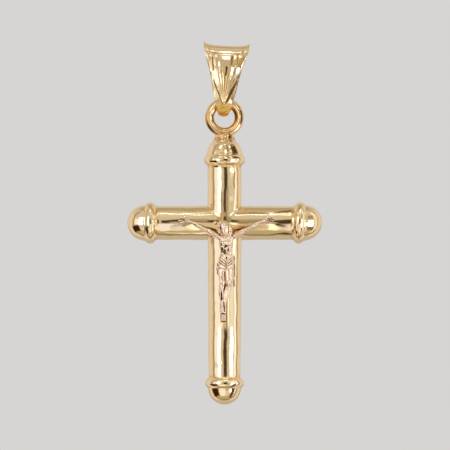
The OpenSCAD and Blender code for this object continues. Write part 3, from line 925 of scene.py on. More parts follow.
    def face(self, across: np.ndarray, down: np.ndarray) -> tuple[np.ndarray, np.ndarray]:
        """Cut face of the front leaf, as height over the plain sheet, and its tint of painted
        shade.

        The lip ends in a step along a curve that rises to the horns. Flutes are a
        broken line over the place across divided by the height above their tip. Each
        single cut is a band round the line between two points, with a flat floor that
        may slope to one side, and takes the place of what was there before.

        Args:
            across: Places across, from the middle.
            down: Places down, from the inside top.

        Returns:
            Heights, 0 or below, and tints.
        """
        middle, horn = self.lip
        under = down - middle + (middle - horn) * ease(np.abs(across), *self.lip_rise)
        height = -self.recess * ease(under, 0.0, 0.05)
        # Painted shade: a dark line along the lip's step.
        tint = 0.84 * bell(under - 0.03, 0.045)
        above = np.maximum(self.fan_tip - down, 0.05)
        fan = np.array(self.fan_table)
        flutes = np.interp(across / above, fan[:, 0], fan[:, 1]) * ease(down, *self.fan_fade)
        height = height - self.flute * np.minimum(above, self.fan_deepest) * flutes
        # Painted shade in the deepest flutes.
        tint = tint + 0.45 * ease(flutes, 0.55, 1.0)
        for row in np.array(self.cuts):
            (a, b), (c, d) = row[:2], row[3:5]
            share = (across - a) * (c - a) + (down - b) * (d - b)
            share = np.clip(share / ((c - a) ** 2 + (d - b) ** 2), 0, 1)
            off = across - a - share * (c - a)
            away = np.hypot(off, down - b - share * (d - b))
            inside = 1 - ease(away - row[2] - (row[5] - row[2]) * share, -0.02, 0.02)
            height = height * (1 - inside) + (row[7] * off - row[6]) * inside
            # A cut's tint takes the place of what was there: painted shade in the dark cuts, plain
            # gold in the others.
            tint = tint * (1 - inside) + row[8] * inside
        return height, tint

    def section(self, rows: np.ndarray, down: np.ndarray, cut_side: bool) -> list[np.ndarray]:
        """Closed outline of each row, from the left edge over the face and back inside.

        Where the leaf is thick with solder, its outer face is rounded.

        Args:
            rows: Stations of the leaf.
            down: Places of the outer face, down from the inside top.
            cut_side: True for the front leaf.

        Returns:
            Place across as a share of the half width, height over the inside, and tint of painted
            shade.
        """
        half, wall = rows[:, 2:3], rows[:, 3:4]
        solder = (wall - self.wall) / (self.tip - self.wall)
        cut = np.clip(rows[:, 5:6], 0, 1) * (1.0 if cut_side else 0.0)
        share = np.linspace(-1, 1, self.columns)[None, :] + 0 * half
        relief, tint = self.face(share * half, down + 0 * share)
        up = wall + relief * cut - self.bevel * ease(np.abs(share), 0.955, 1.0) * (1 - solder)
        up *= 1 - solder * (1 - np.sqrt(1 - (0.80 * share) ** 2))
        up *= 1 - 0.6 * solder * ease(np.abs(share), 0.78, 1.0)
        back = np.linspace(1, -1, 9)[None, :] + 0 * half
        sheet = ((share, back), (up, 0 * back), (tint * cut, 0 * back))
        return [np.concatenate(parts, axis=1) for parts in sheet]

    def leaf_grid(self, side: float) -> np.ndarray:
        """One leaf: rows down it by places across, both halves.

        A point stands off the inside of the sheet along its normal, by the height of
        the section and the curl of the horns, which grows with the fourth power of the
        place, less the crown. The leaf is then turned by its lean.

        Args:
            side: -1 for the front leaf and 1 for the back.

        Returns:
            Rows by columns by x, y, z and tint.
        """
        rows = self.stations()
        run = np.gradient(rows[:, :2], axis=0)
        run[0] = (1, 0)
        run[-1] = (-1, 0)
        run /= np.linalg.norm(run, axis=1, keepdims=True)
        outer = -(rows[:, 1:2] + run[:, :1] * rows[:, 3:4])
        share, height, tint = self.section(rows, outer, side < 0)
        lift = height + rows[:, 4:5] * np.abs(share) ** self.flare_power
        lift -= rows[:, 6:7] * np.abs(share) ** self.crown_power
        points = np.stack([
            share * rows[:, 2:3],
            side * (rows[:, :1] - run[:, 1:] * lift),
            rows[:, 1:2] + run[:, :1] * lift,
        ], axis=-1)
        soldered = ease(outer, *self.solder_fade) * (0.56 + 0.10 * ripple(points, 0.7, 17))
        turn = math.radians(self.lean)
        x, z = points[..., 0].copy(), points[..., 2] - self.lean_about
        points[..., 0] = x * math.cos(turn) + z * math.sin(turn)
        points[..., 2] = z * math.cos(turn) - x * math.sin(turn) + self.lean_about
        return tinted(points, np.maximum(tint, soldered))

    def build(self) -> bpy.types.Object:
        """Builds the bail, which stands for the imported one."""
        skin = Skin("bail_skin")
        for side in (-1.0, 1.0):
            skin.add_grid(self.leaf_grid(side), around=True)
        made = skin.piece(BRIGHT_GOLD, "yellow_gold_bright", "bail", crease=38.0)
        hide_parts("bail")
        return made


# --- Figure --------------------------------------------------------------------------


@dataclass
class Clay:
    """Block of space that a figure is modelled in, as signed distances on a grid.

    A distance is below 0 inside the figure. Each shape is worked out only in its own
    window of the grid and then joined softly to what is there.

    Attributes:
        low, high: Corners of the block.
        cell: Step of the grid.
    """

    low: tuple[float, float, float]
    high: tuple[float, float, float]
    cell: float
    axes: list[np.ndarray] = field(init=False)
    depth: np.ndarray = field(init=False)

    def __post_init__(self) -> None:
        """Lays out the empty grid."""
        self.axes = [np.arange(a, b, self.cell) for a, b in zip(self.low, self.high)]
        self.depth = np.full([len(axis) for axis in self.axes], 1.0)

    def window(self, low: np.ndarray, high: np.ndarray,
               spare: float = 0.25) -> tuple[tuple, list[np.ndarray]]:
        """Part of the grid round a box.

        Args:
            low: Lower corner of the box.
            high: Upper corner of the box.
            spare: Room left round it.

        Returns:
            Slices of the grid, and its x, y and z shaped for broadcasting.
        """
        parts = [slice(*np.searchsorted(axis, (a - spare, b + spare)))
                 for axis, a, b in zip(self.axes, low, high)]
        return tuple(parts), list(np.meshgrid(*(axis[p] for axis, p in zip(self.axes, parts)),
                                              indexing="ij", sparse=True))

    def join(self, part: tuple, other: np.ndarray, soft: float) -> None:
        """Joins a shape: the lesser distance, rounded over the width soft."""
        here = self.depth[part]
        mix = np.maximum(soft - np.abs(here - other), 0) / soft
        self.depth[part] = np.minimum(here, other) - mix**2 * soft / 4

    def carve(self, part: tuple, other: np.ndarray, soft: float) -> None:
        """Keeps what is outside a shape: the greater distance, rounded over soft."""
        here = self.depth[part]
        mix = np.maximum(soft - np.abs(here + other), 0) / soft
        self.depth[part] = np.maximum(here, -other) + mix**2 * soft / 4

    def rods(self, table: np.ndarray, soft: float) -> None:
        """Joins rounded cones, each from one point and radius to another.

        The distance is that to the nearest point of the middle line, less the radius
        there, which changes evenly along the line.

        Args:
            table: One rod a row: x, y, z and radius, twice.
            soft: Width of the soft join.
        """
        for rod in table:
            a, b = rod[:3], rod[4:7]
            wide = max(rod[3], rod[7])
            part, (x, y, z) = self.window(np.minimum(a, b) - wide, np.maximum(a, b) + wide)
            run = b - a
            share = (x - a[0]) * run[0] + (y - a[1]) * run[1] + (z - a[2]) * run[2]
            share = np.clip(share / max(run @ run, 1e-9), 0, 1)
            off = [p - a[k] - share * run[k] for k, p in enumerate((x, y, z))]
            away = np.sqrt(sum(o**2 for o in off))
            self.join(part, away - rod[3] - (rod[7] - rod[3]) * share, soft)

    def loft(self, rows: np.ndarray, soft: float, along: int = 2) -> None:
        """Joins a limb whose cross-sections are ellipses.

        With p the place less the middle, and r the half sizes there, the distance is
        |p / r| (|p / r| - 1) / |p / r^2|, and past the ends the limb is rounded off.

        Args:
            rows: x, z, half width, y and half depth at each station.
            soft: Width of the soft join.
            along: 2 if the limb runs along z and the width is in x, or 0 the other way.
        """
        fine = through_rows(rows, np.linspace(0, len(rows) - 1, 40 * len(rows)))
        key, cross = (1, 0) if along == 2 else (0, 1)
        fine = fine[np.argsort(fine[:, key])]
        ends = fine[0, key], fine[-1, key]
        low, high = fine.min(axis=0), fine.max(axis=0)
        wide = high[2]
        part, (x, y, z) = self.window(
            (low[0] - wide, low[3] - high[4], low[1] - wide),
            (high[0] + wide, high[3] + high[4], high[1] + wide))
        run, over = (z, x) if along == 2 else (x, z)
        middle, half, front, deep = (
            np.interp(run, fine[:, key], fine[:, k]) for k in (cross, 2, 3, 4))
        half, deep = np.maximum(half, 0.01), np.maximum(deep, 0.01)
        past = np.maximum(np.maximum(ends[0] - run, run - ends[1]), 0)
        p = (over - middle, y - front, past)
        r = (half, deep, np.maximum(0.5 * half, 0.03))
        size = np.sqrt(sum((q / s) ** 2 for q, s in zip(p, r)))
        steep = np.sqrt(sum((q / s**2) ** 2 for q, s in zip(p, r)))
        self.join(part, size * (size - 1) / np.maximum(steep, 1e-6), soft)

    def crevices(self, reach: float) -> np.ndarray:
        """How hollow the place is: the share of filled space nearby, from -1 to 1.

        The filled space is averaged over a box twice along each axis.

        Args:
            reach: Half size of the box.

        Returns:
            Above 0 in hollows and below 0 on ridges, on the whole grid.
        """
        filled = np.clip(0.5 - self.depth / (2 * self.cell), 0, 1)
        half = max(1, round(reach / self.cell))
        for axis in (0, 1, 2, 0, 1, 2):
            room = [(half + 1, half) if k == axis else (0, 0) for k in range(3)]
            sums = np.cumsum(np.pad(filled, room), axis=axis)
            count = filled.shape[axis]
            ahead = np.take(sums, np.arange(2 * half + 1, 2 * half + 1 + count), axis=axis)
            behind = np.take(sums, np.arange(count), axis=axis)
            filled = (ahead - behind) / (2 * half + 1)
        return 2 * filled - 1

    def surface(self) -> tuple[np.ndarray, np.ndarray, np.ndarray]:
        """Mesh where the distance is 0: a point in each mixed cell, a quad on each edge.

        A point is the mean of the places where the edges of its cell cross the
        surface, and the four cells round each such edge make a quad.

        Returns:
            Points in millimetres, quads, and the cell of each point.
        """
        depth, inside = self.depth, self.depth < 0
        size = np.array(depth.shape) - 1
        count = np.zeros(size, dtype=np.int8)
        for i, k, m in np.ndindex(2, 2, 2):
            count += inside[i:i + size[0], k:k + size[1], m:m + size[2]]
        cells = np.argwhere((count > 0) & (count < 8))
        number = np.full(size, -1)
        number[tuple(cells.T)] = np.arange(len(cells))
        total, hits, quads = np.zeros(cells.shape), np.zeros((len(cells), 1)), []
        for axis in range(3):
            step = np.eye(3, dtype=int)[axis]
            one, two = (np.eye(3, dtype=int)[(axis + turn) % 3] for turn in (1, 2))
            for start in (cells, cells + one, cells + two, cells + one + two):
                a, b = depth[tuple(start.T)], depth[tuple((start + step).T)]
                cut = (a < 0) != (b < 0)
                share = np.where(cut, a, 0) / np.where(cut, a - b, 1)
                total += (start + share[:, None] * step) * cut[:, None]
                hits += cut[:, None]
            near = inside[tuple(slice(0, -1) if s else slice(1, -1) for s in step)]
            far = inside[tuple(slice(1, None) if s else slice(1, -1) for s in step)]
            edges = np.argwhere(near != far) + 1 - step
            cells_round = (one + two, two, 0 * one, one)
            ring = np.stack([number[tuple((edges - w).T)] for w in cells_round], axis=1)
            out = near[near != far]
            quads.append(np.where(out[:, None], ring, ring[:, ::-1]))
        return np.array(self.low) + self.cell * total / hits, np.concatenate(quads), cells


@dataclass
class Corpus:
    """Cast figure on the front of the cross, all sizes in millimetres.

    The tables hold shares of the height for x, z and widths, and millimetres for the
    depth in front of the tube. Arms are given for one side, from the middle of the
    body outwards, as shares of half the span.

    Attributes:
        height, span: Crown to toes, and fingertips of one hand to the other.
        gap: Gap between the figure and the tubes.
        cell: Step of the grid that it is modelled on.
        block: Corners of the block that it is modelled in, from the crossing.
        hollow_painted_shade, line_painted_shade, side_painted_shade: Painted shade in
        hollows, along cut lines and at the foot of the figure where it meets the tubes,
        and on sides that turn away from the front.
            the figure, and of sides that turn away.
        less_shade: Patches with less painted shade in their hollows, and at all: x, z,
        half width, half height and share.
        torso, head, hair, lock, arm, cloth, near_leg, far_leg: x, z, half width, depth
            and half depth at each station.
        hand, rods: Rods from one x, z, depth and radius to another.
        strokes, arm_strokes, hair_strokes: Fine relief in millimetres, from one x, z to
            another, with its width and height.
        face: The same in shares of face_size round face_middle, for one side of it.
        pegs: Hidden pegs, from one x, y, z and radius to another.
        feet_middle, feet_half, feet_corner: Block of the feet and its rounding.
    """

    cross: Cross
    height: float = 10.8
    span: float = 8.7
    gap: float = 0.03
    cell: float = 0.034
    block: Table = ((-5.15, -3.05, -10.85), (5.45, -0.95, 1.05))
    body_x: float = 0.014
    hollow_painted_shade: float = 0.75
    line_painted_shade: float = 0.85
    side_painted_shade: float = 0.72
    less_shade: Table = ((0.10, -0.70, 0.75, 0.90, 0.6), (0.02, -0.65, 0.45, 0.75, 0.9))
    torso: Table = (
        (0.014, -0.13, 0.026, 0.34, 0.22), (0.014, -0.148, 0.066, 0.34, 0.3),
        (0.014, -0.18, 0.07, 0.36, 0.42), (0.014, -0.225, 0.066, 0.36, 0.42),
        (0.015, -0.28, 0.055, 0.28, 0.33), (0.014, -0.33, 0.058, 0.3, 0.36),
        (0.011, -0.39, 0.068, 0.32, 0.4), (0.006, -0.44, 0.064, 0.32, 0.36),
    )
    head: Table = (
        (-0.013, 0.02, 0.008, 0.48, 0.06), (-0.01, 0.008, 0.032, 0.5, 0.28),
        (-0.004, -0.022, 0.045, 0.54, 0.46), (0.0, -0.056, 0.046, 0.54, 0.46),
        (0.004, -0.088, 0.041, 0.52, 0.42), (0.01, -0.116, 0.031, 0.48, 0.36),
        (0.014, -0.14, 0.019, 0.44, 0.24), (0.017, -0.152, 0.007, 0.42, 0.08),
    )
    hair: Table = (
        (0.006, 0.018, 0.01, 0.4, 0.14), (0.028, -0.01, 0.026, 0.4, 0.32),
        (0.045, -0.05, 0.029, 0.4, 0.36), (0.049, -0.095, 0.028, 0.38, 0.34),
        (0.053, -0.135, 0.024, 0.38, 0.3), (0.05, -0.168, 0.012, 0.42, 0.16),
    )
    lock: Table = (
        (-0.022, 0.012, 0.01, 0.4, 0.14), (-0.044, -0.014, 0.02, 0.4, 0.26),
        (-0.05, -0.046, 0.018, 0.38, 0.26), (-0.044, -0.08, 0.012, 0.36, 0.2),
        (-0.036, -0.104, 0.006, 0.36, 0.1),
    )
    arm: Table = (
        (0.1, -0.15, 0.026, 0.32, 0.3), (0.18, -0.138, 0.028, 0.32, 0.28),
        (0.29, -0.114, 0.031, 0.29, 0.27), (0.38, -0.093, 0.031, 0.26, 0.27),
        (0.44, -0.08, 0.026, 0.23, 0.24), (0.51, -0.066, 0.025, 0.22, 0.23),
        (0.6, -0.047, 0.026, 0.22, 0.23), (0.69, -0.026, 0.026, 0.21, 0.22),
        (0.79, -0.002, 0.019, 0.19, 0.18), (0.87, 0.014, 0.015, 0.18, 0.16),
        (0.93, 0.023, 0.018, 0.18, 0.16),
    )
    cloth: Table = (
        (0.015, -0.322, 0.056, 0.3, 0.37), (0.014, -0.335, 0.067, 0.32, 0.42),
        (0.012, -0.38, 0.075, 0.34, 0.46), (0.01, -0.43, 0.079, 0.36, 0.48),
        (0.009, -0.46, 0.076, 0.36, 0.42),
    )
    near_leg: Table = (
        (0.038, -0.42, 0.042, 0.34, 0.38), (0.04, -0.47, 0.041, 0.42, 0.38),
        (0.042, -0.525, 0.037, 0.5, 0.36), (0.044, -0.58, 0.035, 0.58, 0.36),
        (0.04, -0.622, 0.03, 0.5, 0.33), (0.028, -0.668, 0.031, 0.4, 0.32),
        (0.014, -0.722, 0.026, 0.36, 0.29), (0.002, -0.776, 0.019, 0.4, 0.25),
        (-0.004, -0.82, 0.018, 0.44, 0.22),
    )
    far_leg: Table = (
        (-0.022, -0.42, 0.04, 0.32, 0.36), (-0.026, -0.47, 0.04, 0.36, 0.35),
        (-0.022, -0.53, 0.036, 0.4, 0.33), (-0.02, -0.588, 0.032, 0.44, 0.31),
        (-0.028, -0.63, 0.028, 0.34, 0.29), (-0.031, -0.676, 0.028, 0.28, 0.28),
        (-0.026, -0.73, 0.023, 0.24, 0.25), (-0.018, -0.784, 0.018, 0.2, 0.21),
        (-0.014, -0.82, 0.018, 0.18, 0.18),
    )
    hand: Table = (
        (0.93, 0.024, 0.2, 0.018, 0.985, 0.03, 0.22, 0.022),
        (1.01, 0.043, 0.24, 0.01, 1.12, 0.058, 0.17, 0.006),
        (1.015, 0.034, 0.25, 0.01, 1.155, 0.04, 0.17, 0.006),
        (1.015, 0.024, 0.25, 0.01, 1.15, 0.022, 0.17, 0.006),
        (1.005, 0.015, 0.24, 0.009, 1.115, 0.004, 0.17, 0.006),
        (0.965, 0.04, 0.24, 0.01, 1.02, 0.068, 0.19, 0.006),
        (0.99, 0.029, 0.42, 0.005, 0.99, 0.029, 0.44, 0.006),
    )
    rods: Table = (
        (-0.004, -0.822, 0.42, 0.018, -0.008, -0.88, 0.52, 0.02),
        (-0.012, -0.822, 0.16, 0.019, -0.022, -0.88, 0.3, 0.022),
        (-0.03, -0.795, 0.22, 0.015, -0.03, -0.86, 0.32, 0.018),
        (0.008, -0.44, 0.26, 0.022, 0.006, -0.6, 0.24, 0.02),
        (0.0, -0.6, 0.24, 0.02, -0.006, -0.69, 0.18, 0.014),
        (-0.044, -0.352, 0.64, 0.006, 0.014, -0.392, 0.8, 0.007),
        (-0.05, -0.374, 0.64, 0.007, 0.012, -0.416, 0.82, 0.007),
        (-0.056, -0.396, 0.62, 0.007, 0.008, -0.438, 0.8, 0.007),
        (0.062, -0.354, 0.64, 0.006, 0.026, -0.388, 0.8, 0.007),
        (0.07, -0.378, 0.64, 0.007, 0.024, -0.412, 0.82, 0.007),
        (0.076, -0.404, 0.62, 0.007, 0.022, -0.436, 0.8, 0.007),
        (-0.054, -0.402, 0.56, 0.014, -0.064, -0.406, 0.48, 0.014),
        (-0.062, -0.412, 0.44, 0.012, -0.072, -0.44, 0.34, 0.013),
        (-0.068, -0.44, 0.36, 0.012, -0.066, -0.5, 0.24, 0.008),
    )
    strokes: Table = (
        (0.1, -2.05, 0.1, -2.4, 0.05, -0.06), (-0.5, -1.66, 0.0, -1.8, 0.05, 0.04),
        (0.78, -1.66, 0.28, -1.8, 0.05, 0.04), (-0.28, -2.08, -0.2, -2.12, 0.17, 0.08),
        (0.52, -2.06, 0.44, -2.12, 0.17, 0.08), (-0.56, -2.34, -0.18, -2.46, 0.05, -0.07),
        (0.84, -2.34, 0.42, -2.44, 0.05, -0.06), (-0.62, -2.56, -0.4, -2.68, 0.035, -0.05),
        (-0.58, -2.76, -0.38, -2.88, 0.035, -0.05), (-0.54, -2.96, -0.3, -3.1, 0.035, -0.05),
        (0.88, -2.54, 0.62, -2.66, 0.035, -0.05), (0.84, -2.74, 0.6, -2.86, 0.035, -0.05),
        (0.8, -2.94, 0.52, -3.08, 0.035, -0.05), (-0.27, -2.7, -0.25, -2.98, 0.085, -0.22),
        (-0.22, -3.02, 0.02, -3.26, 0.055, -0.14), (0.16, -3.24, 0.18, -3.52, 0.05, -0.05),
        (0.2, -3.62, 0.2, -3.86, 0.045, -0.14), (-0.12, -3.45, -0.12, -3.6, 0.12, 0.04),
        (0.48, -3.45, 0.48, -3.6, 0.12, 0.04), (-0.45, -3.68, 0.1, -4.06, 0.035, -0.06),
        (-0.5, -3.98, 0.1, -4.4, 0.035, -0.07), (-0.56, -4.22, 0.06, -4.64, 0.035, -0.07),
        (0.7, -3.68, 0.32, -4.04, 0.035, -0.06), (0.76, -3.98, 0.32, -4.36, 0.035, -0.07),
        (0.8, -4.26, 0.3, -4.62, 0.035, -0.07), (0.16, -3.98, 0.16, -4.9, 0.06, -0.07),
        (-0.45, -4.72, 0.02, -4.86, 0.05, 0.05), (0.84, -4.7, 0.3, -4.92, 0.05, 0.05),
        (0.02, -4.95, -0.02, -6.05, 0.06, -0.06), (-0.38, -5.66, -0.18, -6.1, 0.05, -0.07),
        (0.28, -6.15, 0.31, -6.4, 0.09, 0.05), (0.6, -6.15, 0.6, -6.5, 0.1, 0.06),
        (0.45, -6.22, 0.46, -6.45, 0.035, -0.03), (0.22, -6.74, 0.56, -6.82, 0.05, -0.04),
        (0.22, -6.8, -0.02, -7.3, 0.06, 0.06), (-0.02, -7.3, -0.12, -7.9, 0.06, 0.06),
        (-0.12, -7.9, -0.02, -8.3, 0.06, 0.05), (0.6, -7.1, 0.16, -8.3, 0.05, 0.06),
        (0.48, -7.1, 0.1, -8.1, 0.05, -0.05), (-0.46, -6.3, -0.52, -7.3, 0.05, 0.05),
        (-0.3, -6.4, -0.26, -7.0, 0.05, -0.05), (-0.33, -7.36, -0.31, -8.12, 0.055, -0.2),
        (-0.09, -8.46, 0.0, -9.34, 0.05, -0.2), (-0.3, -8.5, -0.3, -9.1, 0.07, 0.05),
        (0.14, -9.0, 0.14, -9.4, 0.07, 0.07), (-0.36, -9.6, 0.16, -9.6, 0.045, -0.14),
        (-0.37, -9.66, -0.38, -10.4, 0.045, -0.12), (0.17, -9.66, 0.17, -10.38, 0.045, -0.12),
        (-0.32, -10.44, 0.12, -10.44, 0.04, -0.12), (0.02, -9.86, 0.02, -9.86, 0.04, -0.06),
    )
    arm_strokes: Table = (
        (0.85, -1.4, 1.55, -1.1, 0.07, 0.05), (0.9, -1.62, 1.6, -1.28, 0.05, -0.05),
        (1.3, -1.22, 1.8, -0.98, 0.09, 0.05), (1.88, -0.86, 2.06, -1.02, 0.05, -0.06),
        (2.15, -0.78, 2.9, -0.4, 0.07, 0.05), (2.1, -0.98, 3.0, -0.52, 0.04, -0.04),
        (2.9, -0.28, 3.6, 0.06, 0.04, 0.04), (3.66, 0.02, 3.72, 0.22, 0.04, -0.05),
        (3.95, 0.2, 4.25, 0.36, 0.05, -0.05), (0.62, -1.3, 0.8, -1.66, 0.06, -0.06),
        (4.36, 0.42, 4.95, 0.54, 0.03, -0.1), (4.38, 0.31, 5.0, 0.33, 0.03, -0.1),
        (4.36, 0.21, 4.92, 0.13, 0.03, -0.1), (4.14, 0.36, 4.2, 0.22, 0.03, -0.08),
    )
    hair_strokes: Table = (
        (0.06, 0.16, 0.38, -0.26, 0.03, -0.07), (0.38, -0.26, 0.44, -0.8, 0.03, -0.07),
        (0.44, -0.8, 0.5, -1.44, 0.03, -0.07), (0.18, 0.14, 0.54, -0.36, 0.03, -0.06),
        (0.54, -0.36, 0.58, -0.9, 0.03, -0.06), (0.58, -0.9, 0.62, -1.5, 0.03, -0.06),
        (0.36, 0.04, 0.68, -0.44, 0.03, -0.05), (0.68, -0.44, 0.7, -1.0, 0.03, -0.05),
        (0.7, -1.0, 0.74, -1.5, 0.03, -0.05), (-0.2, 0.12, -0.44, -0.16, 0.03, -0.06),
        (-0.44, -0.16, -0.5, -0.56, 0.03, -0.06), (-0.34, 0.06, -0.58, -0.3, 0.03, -0.05),
        (-0.58, -0.3, -0.58, -0.72, 0.03, -0.05), (-0.47, -0.44, -0.42, -0.66, 0.05, -0.16),
        (-0.38, -0.8, -0.28, -1.08, 0.04, -0.1), (-0.1, 0.2, -0.14, -0.06, 0.03, -0.05),
    )
    face_middle: tuple[float, float] = (0.04, -0.72)
    face_size: tuple[float, float] = (0.47, 0.86)
    face_tilt: float = 10.0
    face: Table = (
        (-0.42, 0.02, -0.24, 0.02, 0.045, -0.035), (-0.4, 0.0, -0.27, 0.0, 0.025, 0.035),
        (-0.5, 0.16, -0.14, 0.19, 0.035, 0.04), (0.0, 0.14, 0.0, -0.34, 0.06, 0.06),
        (-0.06, -0.36, 0.06, -0.36, 0.04, 0.05), (-0.2, -0.54, 0.2, -0.54, 0.025, -0.04),
        (-0.14, -0.47, 0.14, -0.47, 0.03, 0.03), (-0.12, -0.61, 0.12, -0.61, 0.03, 0.035),
        (-0.55, -0.25, -0.45, -0.4, 0.08, 0.03), (-0.4, -0.55, -0.28, -0.95, 0.025, -0.04),
        (-0.2, -0.72, -0.14, -1.05, 0.025, -0.04), (0.0, -0.74, 0.0, -1.1, 0.025, -0.04),
        (-0.62, 0.62, 0.62, 0.62, 0.035, -0.06),
    )

    pegs: Table = (
        (0.151, -1.95, -2.32, 0.35, 0.151, -1.5, -2.32, 0.35),
        (0.086, -1.95, -4.59, 0.35, 0.086, -1.5, -4.59, 0.35),
    )
    feet_middle: tuple[float, float, float] = (-0.10, -2.13, -10.04)
    feet_half: tuple[float, float, float] = (0.18, 0.17, 0.34)
    feet_corner: float = 0.17

    def stations(self, rows: Table) -> np.ndarray:
        """Turns rows of shares into x, z, half width, y and half depth."""
        table = np.array(rows)
        table[:, :3] *= self.height
        table[:, 3] = -self.cross.tube_r - table[:, 3]
        return table

    def bars(self, rows: Table, side: float = 0.0) -> np.ndarray:
        """Turns rows of rods into x, y, z and radius, twice.

        Args:
            rows: x, z, depth and radius of each end.
            side: 0 for the body, or -1 or 1 for the arm of that side.

        Returns:
            The table of rods.
        """
        ends = np.array(rows).reshape(-1, 4)
        across = ends[:, 0] * self.height
        if side:
            across = side * ends[:, 0] * self.span / 2 + self.body_x * self.height
        return np.stack([
            across, -self.cross.tube_r - ends[:, 2],
            ends[:, 1] * self.height, ends[:, 3] * self.height,
        ], axis=1).reshape(-1, 8)

    def relief(self, x: np.ndarray, z: np.ndarray) -> np.ndarray:
        """Height of the fine modelling over the body, seen from the front.

        Each stroke adds height * exp(-(d / width)^2), d being the distance from its
        line, and the hollow under the ribs is an uneven ring round an ellipse.

        Args:
            x: Places across.
            z: Places up, from the crossing.

        Returns:
            Heights on the grid of x by z.
        """
        middle = self.body_x * self.height
        arms = np.array(self.arm_strokes)
        both = [arms * (s, 1, s, 1, 1, 1) + (middle, 0, middle, 0, 0, 0) for s in (-1, 1)]
        lines = np.array([(s * a, b, s * c, *rest) for a, b, c, *rest in self.face
                          for s in (1, -1) if s == 1 or a != -c])
        tilt = math.radians(self.face_tilt)
        for k in (0, 2):
            u, v = lines[:, k] * self.face_size[0], lines[:, k + 1] * self.face_size[1]
            lines[:, k] = self.face_middle[0] + u * math.cos(tilt) - v * math.sin(tilt)
            lines[:, k + 1] = self.face_middle[1] + u * math.sin(tilt) + v * math.cos(tilt)
        high = np.zeros((len(x), len(z)))
        for stroke in np.concatenate([self.strokes, *both, self.hair_strokes, lines]):
            a, b, width = stroke[:2], stroke[2:4], stroke[4]
            low, high_end = np.minimum(a, b) - 3 * width, np.maximum(a, b) + 3 * width
            i, k = (slice(*np.searchsorted(axis, (low[n], high_end[n])))
                    for n, axis in enumerate((x, z)))
            px, pz = x[i, None] - a[0], z[None, k] - a[1]
            run = b - a
            share = np.clip((px * run[0] + pz * run[1]) / max(run @ run, 1e-9), 0, 1)
            away = np.hypot(px - share * run[0], pz - share * run[1])
            high[i, k] += stroke[5] * bell(away, width)
        across, up = x[:, None] - 0.18, z[None, :] + 2.82
        off = np.hypot(across / 0.21, up / 0.36)
        uneven = 0.60 + 0.40 * np.cos(3 * (np.arctan2(up, across) + 0.26))
        return high - 0.18 * uneven * bell(off - 1, 0.30) + 0.06 * bell(off, 0.4)

    def modelled(self) -> Clay:
        """Models the figure: limbs, cloth, hands and feet, then the fine relief.

        Last, the tubes and their gap are cut from its back and the two pegs are added.

        Returns:
            The modelled block, with the crossing at height 0.
        """
        clay = Clay(*self.block, self.cell)
        clay.loft(self.stations(self.torso), 0.10)
        arm = self.stations(self.arm)
        arm[:, 0] = np.array(self.arm)[:, 0] * self.span / 2
        for side in (-1.0, 1.0):
            turned = arm.copy()
            turned[:, 0] = side * arm[:, 0] + self.body_x * self.height
            clay.loft(turned, 0.12, along=0)
            clay.rods(self.bars(self.hand, side), 0.07)
        clay.loft(self.stations(self.far_leg), 0.08)
        clay.loft(self.stations(self.near_leg), 0.06)
        clay.loft(self.stations(self.cloth), 0.05)
        clay.rods(self.bars(self.rods), 0.05)
        for rows, soft in ((self.hair, 0.06), (self.lock, 0.06), (self.head, 0.05)):
            clay.loft(self.stations(rows), soft)
        self.feet(clay)
        x, y, z = clay.axes
        ahead = ease(-y, self.cross.tube_r + 0.02, self.cross.tube_r + 0.22)
        clay.depth -= self.relief(x, z)[:, None, :] * ahead[None, :, None]
        self.cut_back(clay)
        clay.rods(np.array(self.pegs), 0.02)
        return clay

    def feet(self, clay: Clay) -> None:
        """Joins the crossed feet as a rounded block that leans on the upright."""
        middle, half = np.array(self.feet_middle), np.array(self.feet_half)
        part, places = clay.window(*(middle + s * (half + self.feet_corner) for s in (-1, 1)))
        over = [np.maximum(np.abs(p - m) - h, 0) for p, m, h in zip(places, middle, half)]
        clay.join(part, np.sqrt(sum(o**2 for o in over)) - self.feet_corner, 0.06)

    def cut_back(self, clay: Clay) -> None:
        """Cuts both tubes, with the gap round them, from the back of the figure."""
        x, y, z = np.meshgrid(*clay.axes, indexing="ij", sparse=True)
        tube_r = self.cross.tube_r
        narrow = np.clip((-z - tube_r) / (self.cross.foot_reach - tube_r), 0, 1)
        upright = tube_r * (1 + (self.cross.foot_share - 1) * narrow)
        tubes = np.minimum(np.hypot(x, y) - upright, np.hypot(y, z) - tube_r)
        clay.carve(tuple(slice(None) for _ in range(3)), tubes - self.gap, 0.04)

    def build(self) -> bpy.types.Object:
        """Builds the figure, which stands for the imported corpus."""
        clay = self.modelled()
        points, quads, cells = clay.surface()
        # Painted shade: darker in hollows, along the relief's cut lines, where the figure comes
        # close to the tubes, and on sides that turn away from the front.
        hollow = ease(clay.crevices(0.10)[tuple(cells.T)], 0.02, 0.30)
        relief = self.relief(clay.axes[0], clay.axes[2])[cells[:, 0], cells[:, 2]]
        cut = ease(-relief, 0.01, 0.11)
        x, y, z = np.moveaxis(points, -1, 0)
